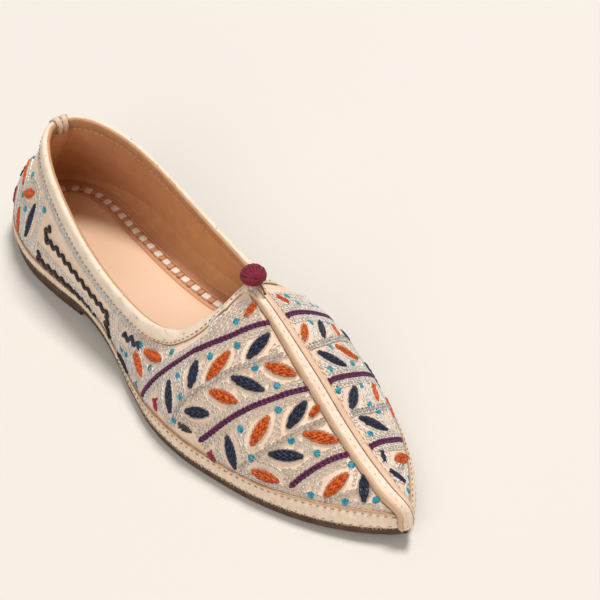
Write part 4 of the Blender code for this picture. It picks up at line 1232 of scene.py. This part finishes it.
for side in (-1, 1):
    t = np.linspace(0, THROAT - 0.05, 420)
    spots, outs = on_collar(t, 0.0043, 0.0012)
    dashes("brown_stitches", spots * (side, 1, 1), outs * (side, 1, 1), 0.0024, (0.0014, 0.0005, 0.0004))
    spots, outs = on_collar(t, 0.0050, 0.0001)
    dashes("binding_groove", spots * (side, 1, 1), outs * (side, 1, 1), 0.0010, (0.0020, 0.0006, 0.0005))
    t = np.linspace(0, THROAT - 2.6, 420)
    spots, outs = on_collar(t, 0.0052, -(WALL + 0.0003))
    dashes("pale_stitches", spots * (side, 1, 1), outs * (side, 1, 1), 0.0024, (0.0016, 0.0005, 0.0005))
    t = np.linspace(0, THROAT - 2.0, 420)
    spots, outs = on_collar(t, np.full(len(t), 0.0002), -(WALL + 0.0005))
    dashes("raw_edge", spots * (side, 1, 1), outs * (side, 1, 1), 0.0011, (0.0018, 0.0007, 0.0006), 0.2, 0.00012)

bm = both_sides(sheet(8, 40, lambda u, w: leather(u * 1.0, mix(0.16, 0.90, w), 1, -(WALL + 0.0003))))
bm = outwards(bm, Vector((0, 0.2, 0.02)))
bmesh.ops.solidify(bm, geom=bm.faces[:], thickness=0.0006)
SEAM_STRIP = finish("seam strip", paint(232, 182, 136), paint(214, 162, 116), 0.7, 160, 1400, 0.0001, 0.1)
piece("inner_seam_strip", closed(bm), SEAM_STRIP)
for side in (-1, 1):
    v = np.linspace(0.16, 0.90, 80)
    line = leather(0.86, v, side, -(WALL + 0.0010))
    dashes("pale_stitches", line, leather_out(0.86, v, side), 0.0022, (0.0013, 0.0004, 0.0004))

# %% [markdown]
# ## The rand up close
# The rand is turned in at its top over a thin cord, stitched with brown thread, and its lower
# edge is left raw: it frays a little over the sole. The fibres are short spindles, all the same.
# The cord's orange-brown is partly its own colour and partly painted shade of the groove there.

# %% Cord, stitches and fray of the rand
def on_rand(t, up, side, lift=0.0):
    """Points on the rand at a height above its lower edge, and the way out there."""
    high = band_height(t)
    thick = mix(BAND_WALL, BAND_SKIVED, np.clip(up / high, 0, 1)) + BAND_GAP + lift
    v = v_at(t, CLEARANCE + up)
    return leather(t, v, side, thick), leather_out(t, v, side)


for side in (-1, 1):
    t = np.linspace(0.03, LAST - 0.3, 700)
    line, outs = on_rand(t, band_height(t) + 0.00015, side, -0.0002)
    # cord along the top of the rand; its orange-brown is partly painted shade of the groove
    dashes("rand_cord_and_groove_shade", line, outs, 0.0010, (0.0019, 0.0008, 0.0007), 0.05)
    line, outs = on_rand(t, np.maximum(band_height(t) - 0.0009, 0.0006), side, 0.0001)
    dashes("brown_stitches", line[t > 9], outs[t > 9], 0.0027, (0.0014, 0.0004, 0.0004))
    line, outs = on_rand(t, np.full(len(t), 0.0009), side, 0.0001)
    dashes("brown_stitches", line[t > 9], outs[t > 9], 0.0034, (0.0012, 0.0003, 0.0003), 0.2, 0.0002)
    line, outs = on_rand(t, np.full(len(t), 0.0003), side, 0.0001)
    spots, ahead, share = paced(line, 0.0010)
    out = np.stack([np.interp(share * len(t), np.arange(len(t)), outs[:, k]) for k in range(3)], 1)
    fall = unit(np.cross(out, ahead))
    fall = np.where(fall[:, 2:] > 0, -fall, fall)
    way = unit(fall + ahead * RNG.normal(0, 1.1, (len(spots), 1)) + out * RNG.uniform(0, 0.5, (len(spots), 1)))
    long = RNG.uniform(0.0005, 0.0013, (len(spots), 1))
    size = np.concatenate([long, np.full((len(spots), 2), 0.00022)], 1)
    lay("rand_fray", STITCH, spots + way * long * 0.3, way, out, size)

# %% [markdown]
# ## Stitching of the strips
# The wide strip is folded round a filler at its left edge and stitched flat along the middle;
# dark thread joins it to the narrow one. Brown stitches laid edge to edge just outside the roll
# are a painted shadow line at its foot.

# %% Stitches along the strips
def strip_line(side, start_width, width, share, height):
    """Line along a strip at a share of its width, and the way out there."""
    rows = strip_rows(side, start_width, width, [(share, height)])
    return rows[:, 0], middle_line()[1]


for item in ((-1, WIDE_START, WIDE, 0.36, 0.0014, "tan_stitches", 0.0030, (0.0011, 0.0003, 0.0003)),
             # brown stitches laid edge to edge just outside the roll: a painted shadow line at its foot
             (-1, WIDE_START, WIDE, 1.02, 0.0001, "brown_stitches", 0.0022, (0.0030, 0.0003, 0.0003)),
             (-1, WIDE_START, WIDE, 0.715, 0.0010, "brown_stitches", 0.0024, (0.0020, 0.0003, 0.0003)),
             (1, NARROW_START, NARROW, 0.04, 0.0008, "dark_stitches", 0.0024, (0.0019, 0.0003, 0.0003)),
             (1, NARROW_START, NARROW, 0.90, 0.0012, "brown_stitches", 0.0027, (0.0015, 0.0004, 0.0004))):
    line, outs = strip_line(*item[:5])
    dashes(item[5], line[:-3], outs[:-3], item[6], item[7])

BROWN_THREAD_AND_SHADOW = finish("brown thread and painted shadow", paint(172, 134, 98), paint(128, 92, 62), 0.6, 900, 5000, 0.00005, 0.2)
PALE_THREAD = finish("pale thread", paint(240, 208, 170), paint(214, 174, 132), 0.6, 900, 5000, 0.00005)
TAN_THREAD = finish("tan thread", paint(216, 188, 158), paint(190, 158, 126), 0.6, 900, 5000, 0.00005)
DARK_THREAD = finish("dark thread", paint(120, 86, 62), paint(84, 58, 42), 0.6, 900, 5000, 0.00005)
RAW_EDGE = finish("raw edge", paint(214, 168, 124), paint(184, 136, 96), 0.85, 900, 5000, 0.00008, 0.2)
# orange-brown partly the cord's own colour, partly painted shade of the groove
RAND_CORD_AND_GROOVE_SHADE = finish("rand cord and groove shade", paint(216, 176, 134), paint(184, 138, 98), 0.7, 500, 5000, 0.00008, 0.2)
RAND_FRAY = finish("rand fray", paint(240, 222, 194), paint(214, 188, 154), 0.8, 900, 5000, 0.00004, 0.3)
for basket, material, node in (
        ("brown_stitches", BROWN_THREAD_AND_SHADOW, "upper"), ("binding_groove", BROWN_THREAD_AND_SHADOW, "binding"),
        ("pale_stitches", PALE_THREAD, "upper"), ("tan_stitches", TAN_THREAD, "upper"),
        ("dark_stitches", DARK_THREAD, "upper"), ("raw_edge", RAW_EDGE, "binding"),
        ("rand_cord_and_groove_shade", RAND_CORD_AND_GROOVE_SHADE, "rand_band"), ("rand_fray", RAND_FRAY, "rand_band")):
    sew(basket, material)

# %% [markdown]
# ## Pompom, thread and heel tab
# The pompom is yarn wound through the middle of a small ball, so its strands run from one dimple
# to another; one dimple looks up and forward. A thread ties it down through a hole between the
# strips. At the heel, leather wrapped twice round the rim makes the tab, bound with silver.

# %% Pompom
BALL, BALL_WIDE, BALL_HIGH = np.array([-0.0002, -0.0369, 0.0624]), 0.0048, 0.0036
pole = unit(np.array([-0.32, -0.86, 0.40]))
start = unit(np.cross(pole, (1.0, 0.2, 0.1)))
third = np.cross(pole, start)
arc = np.linspace(math.radians(7), math.radians(173), 60)
for k in range(54):
    turn = 2 * math.pi * k / 54 + RNG.normal(0, 0.03)
    lean = start * math.cos(turn) + third * math.sin(turn)
    twist = start * -math.sin(turn) + third * math.cos(turn)
    way = (np.outer(np.cos(arc), pole) + np.outer(np.sin(arc), lean)
           + np.outer(np.sin(arc) * np.sin(arc * 2) * RNG.normal(0, 0.06), twist))
    way = unit(way)
    dimple = 1 - 0.16 * np.exp(-(np.sin(arc) / 0.35) ** 2)
    line = BALL + way * (BALL_WIDE, BALL_WIDE, BALL_HIGH) * (dimple * RNG.uniform(0.97, 1.02))[:, None]
    spots, ahead, share = paced(line, 0.0009)
    out = unit((spots - BALL) / (BALL_WIDE ** 2, BALL_WIDE ** 2, BALL_HIGH ** 2))
    lay("pompom_yarn", STITCH, spots - out * 0.0002, ahead, out, (0.0030, 0.0006, 0.0006))
YARN = finish("crimson yarn", paint(148, 26, 56), paint(104, 10, 36), 0.8, 700, 5000, 0.00006, 0.1)
sew("pompom_yarn", YARN, ["pompom"])
bm = bmesh.new()
bmesh.ops.create_uvsphere(bm, u_segments=24, v_segments=14, radius=1.0)
for vert in bm.verts:
    vert.co = Vector(BALL) + Vector((vert.co.x * BALL_WIDE, vert.co.y * BALL_WIDE, vert.co.z * BALL_HIGH)) * 0.88
piece("pompom_core", bm, YARN)

tie = np.array([[-0.0001, -0.0400, 0.0606], [0.0001, -0.0412, 0.0600], [0.0001, -0.0424, 0.0592],
                [0.0, -0.0434, 0.0580]])
fine = np.linspace(0, 3, 30)
tie = np.stack([smooth(tie[:, k], fine) for k in range(3)], 1)
spots, ahead, share = paced(tie, 0.0005)
out = unit(np.cross((1.0, 0, 0), ahead))
lay("pompom_thread", STITCH, spots, ahead, out, (0.0012, 0.0006, 0.0006))
lay("pompom_thread", BAR, tie[-1:] + (0, -0.0001, 0.0), ahead[-1:], out[-1:], (0.0011, 0.0009, 0.0006))
TIE_THREAD = finish("tie thread", paint(120, 60, 50), paint(76, 32, 28), 0.7, 900, 5000, 0.00004)
sew("pompom_thread", TIE_THREAD, ["pompom_tie"])

# %% [markdown]
# ## The heel tab
# A short strap wraps the rim at the back, so it is one closed ring swept over the rim, with two
# bulges where the thread pulls it in.

# %% Heel tab
TAB_HALF, TAB_DEPTH = 0.0032, 0.0041
t = np.interp(np.linspace(0, TAB_HALF, 26), HALF * smooth(TOP_X, np.linspace(0, 2, 200)), np.linspace(0, 2, 200))
bulge = 0.0004 + 0.0008 * np.abs(np.sin(math.pi * np.linspace(0, 1, 26))) ** 0.6
under = 0.0013
over = under + bulge
ring = [on_collar(t, TAB_DEPTH, under - 0.0008)[0], on_collar(t, TAB_DEPTH, over * 0.85)[0]]
ring += [on_collar(t, TAB_DEPTH * share, over)[0] for share in (0.75, 0.4, 0.1)]
ring += [on_collar(t, -over * 0.75, 0 * t + 0.0006)[0], on_collar(t, -over, -WALL * 0.5 + 0 * t)[0],
         on_collar(t, -over * 0.75, -WALL - 0.0006 + 0 * t)[0]]
ring += [on_collar(t, TAB_DEPTH * share, -WALL - over)[0] for share in (0.1, 0.4, 0.75)]
ring += [on_collar(t, TAB_DEPTH, -WALL - over * 0.85)[0], on_collar(t, TAB_DEPTH, -WALL - under + 0.0008)[0]]
ring += [on_collar(t, TAB_DEPTH * 0.4, -WALL * 0.6)[0], on_collar(t, TAB_DEPTH * 0.4, -WALL * 0.4)[0]]
rows = np.stack(ring, 1)
rows[0, :, 0] = 0
end = rows[-1].mean(0) * np.ones_like(rows[-1])
bm = both_sides(swept(np.concatenate([rows, end[None]])))
piece("heel_tab", closed(bm), FOLDED, ["back_tab"])
for k in (1, 25):
    path = rows[k, 1:12]
    fine = np.linspace(0, len(path) - 1, 80)
    path = np.stack([smooth(path[:, j], fine) for j in range(3)], 1)
    outs = unit(path - rows[k, [4, 8]].mean(0))
    for side in (-1, 1):
        dashes("tab_thread", path * (side, 1, 1), outs * (side, 1, 1), 0.0010, (0.0012, 0.0005, 0.0005), 0.3)
# silver wrap of the tab: the dark shade mixed in is painted dark reflection of the silver
sew("tab_thread", thread("tab thread", (226, 220, 212), (58, 50, 44), 0.4))

# %% [markdown]
# ## Floor, light and camera
# The photograph has a warm white floor and soft daylight from above and to the right, so the
# shadow is soft and falls to the left. The camera looks down at about forty degrees.

# %% Floor and world
bm = bmesh.new()
bmesh.ops.create_grid(bm, x_segments=1, y_segments=1, size=3.0)
mesh = bpy.data.meshes.new("studio_floor")
bm.to_mesh(mesh)
bm.free()
floor = bpy.data.objects.new("studio_floor", mesh)
bpy.context.scene.collection.objects.link(floor)
paper = bpy.data.materials.new("studio paper")
paper.use_nodes = True
paper.node_tree.nodes["Principled BSDF"].inputs["Base Color"].default_value = (*paint(222, 219, 214), 1)
paper.node_tree.nodes["Principled BSDF"].inputs["Roughness"].default_value = 0.9
mesh.materials.append(paper)

world = bpy.data.worlds.new("studio")
bpy.context.scene.world = world
world.use_nodes = True
sky = world.node_tree.nodes["Background"]
sky.inputs["Color"].default_value = (1.0, 0.93, 0.85, 1)
sky.inputs["Strength"].default_value = 0.33
bpy.context.scene.view_settings.view_transform = "Standard"


def lamp(name, place, aim, size, power, colour):
    light = bpy.data.lights.new(name, "AREA")
    light.shape, light.size, light.energy, light.color = "DISK", size, power, colour
    item = bpy.data.objects.new(name, light)
    bpy.context.scene.collection.objects.link(item)
    item.location = place
    item.rotation_euler = (Vector(place) - Vector(aim)).to_track_quat("Z", "Y").to_euler()
    return item


lamp("window", (0.86, 0.18, 2.85), (0, 0, 0), 0.9, 74.0, (1.0, 0.965, 0.93))
lamp("fill", (-1.8, -1.2, 1.5), (0, 0, 0), 1.6, 22.0, (1.0, 0.96, 0.93))

# %% [markdown]
# ## The camera
# It was found by fitting the sole, the top line and the ridge of the solids to the photograph.

# %% Camera at the photograph's angle
AZIMUTH, ELEVATION, DISTANCE = math.radians(-37.65337), math.radians(40.01), 0.62869
AIM = Vector((0.03545, -0.01817, 0.02))
FOCAL_PX, FRAME_PX = 1599.5, 600
back = Vector((math.sin(AZIMUTH) * math.cos(ELEVATION), -math.cos(AZIMUTH) * math.cos(ELEVATION),
               math.sin(ELEVATION)))
camera = bpy.data.objects.new("camera", bpy.data.cameras.new("camera"))
bpy.context.scene.collection.objects.link(camera)
camera.location = AIM + back * DISTANCE
camera.rotation_euler = (-back).to_track_quat("-Z", "Y").to_euler()
camera.data.sensor_width = 36
camera.data.lens = FOCAL_PX * 36 / FRAME_PX
camera.data.clip_start, camera.data.clip_end = 0.01, 20
bpy.context.scene.camera = camera
print("camera at mm:", [round(value * 1000) for value in camera.location])
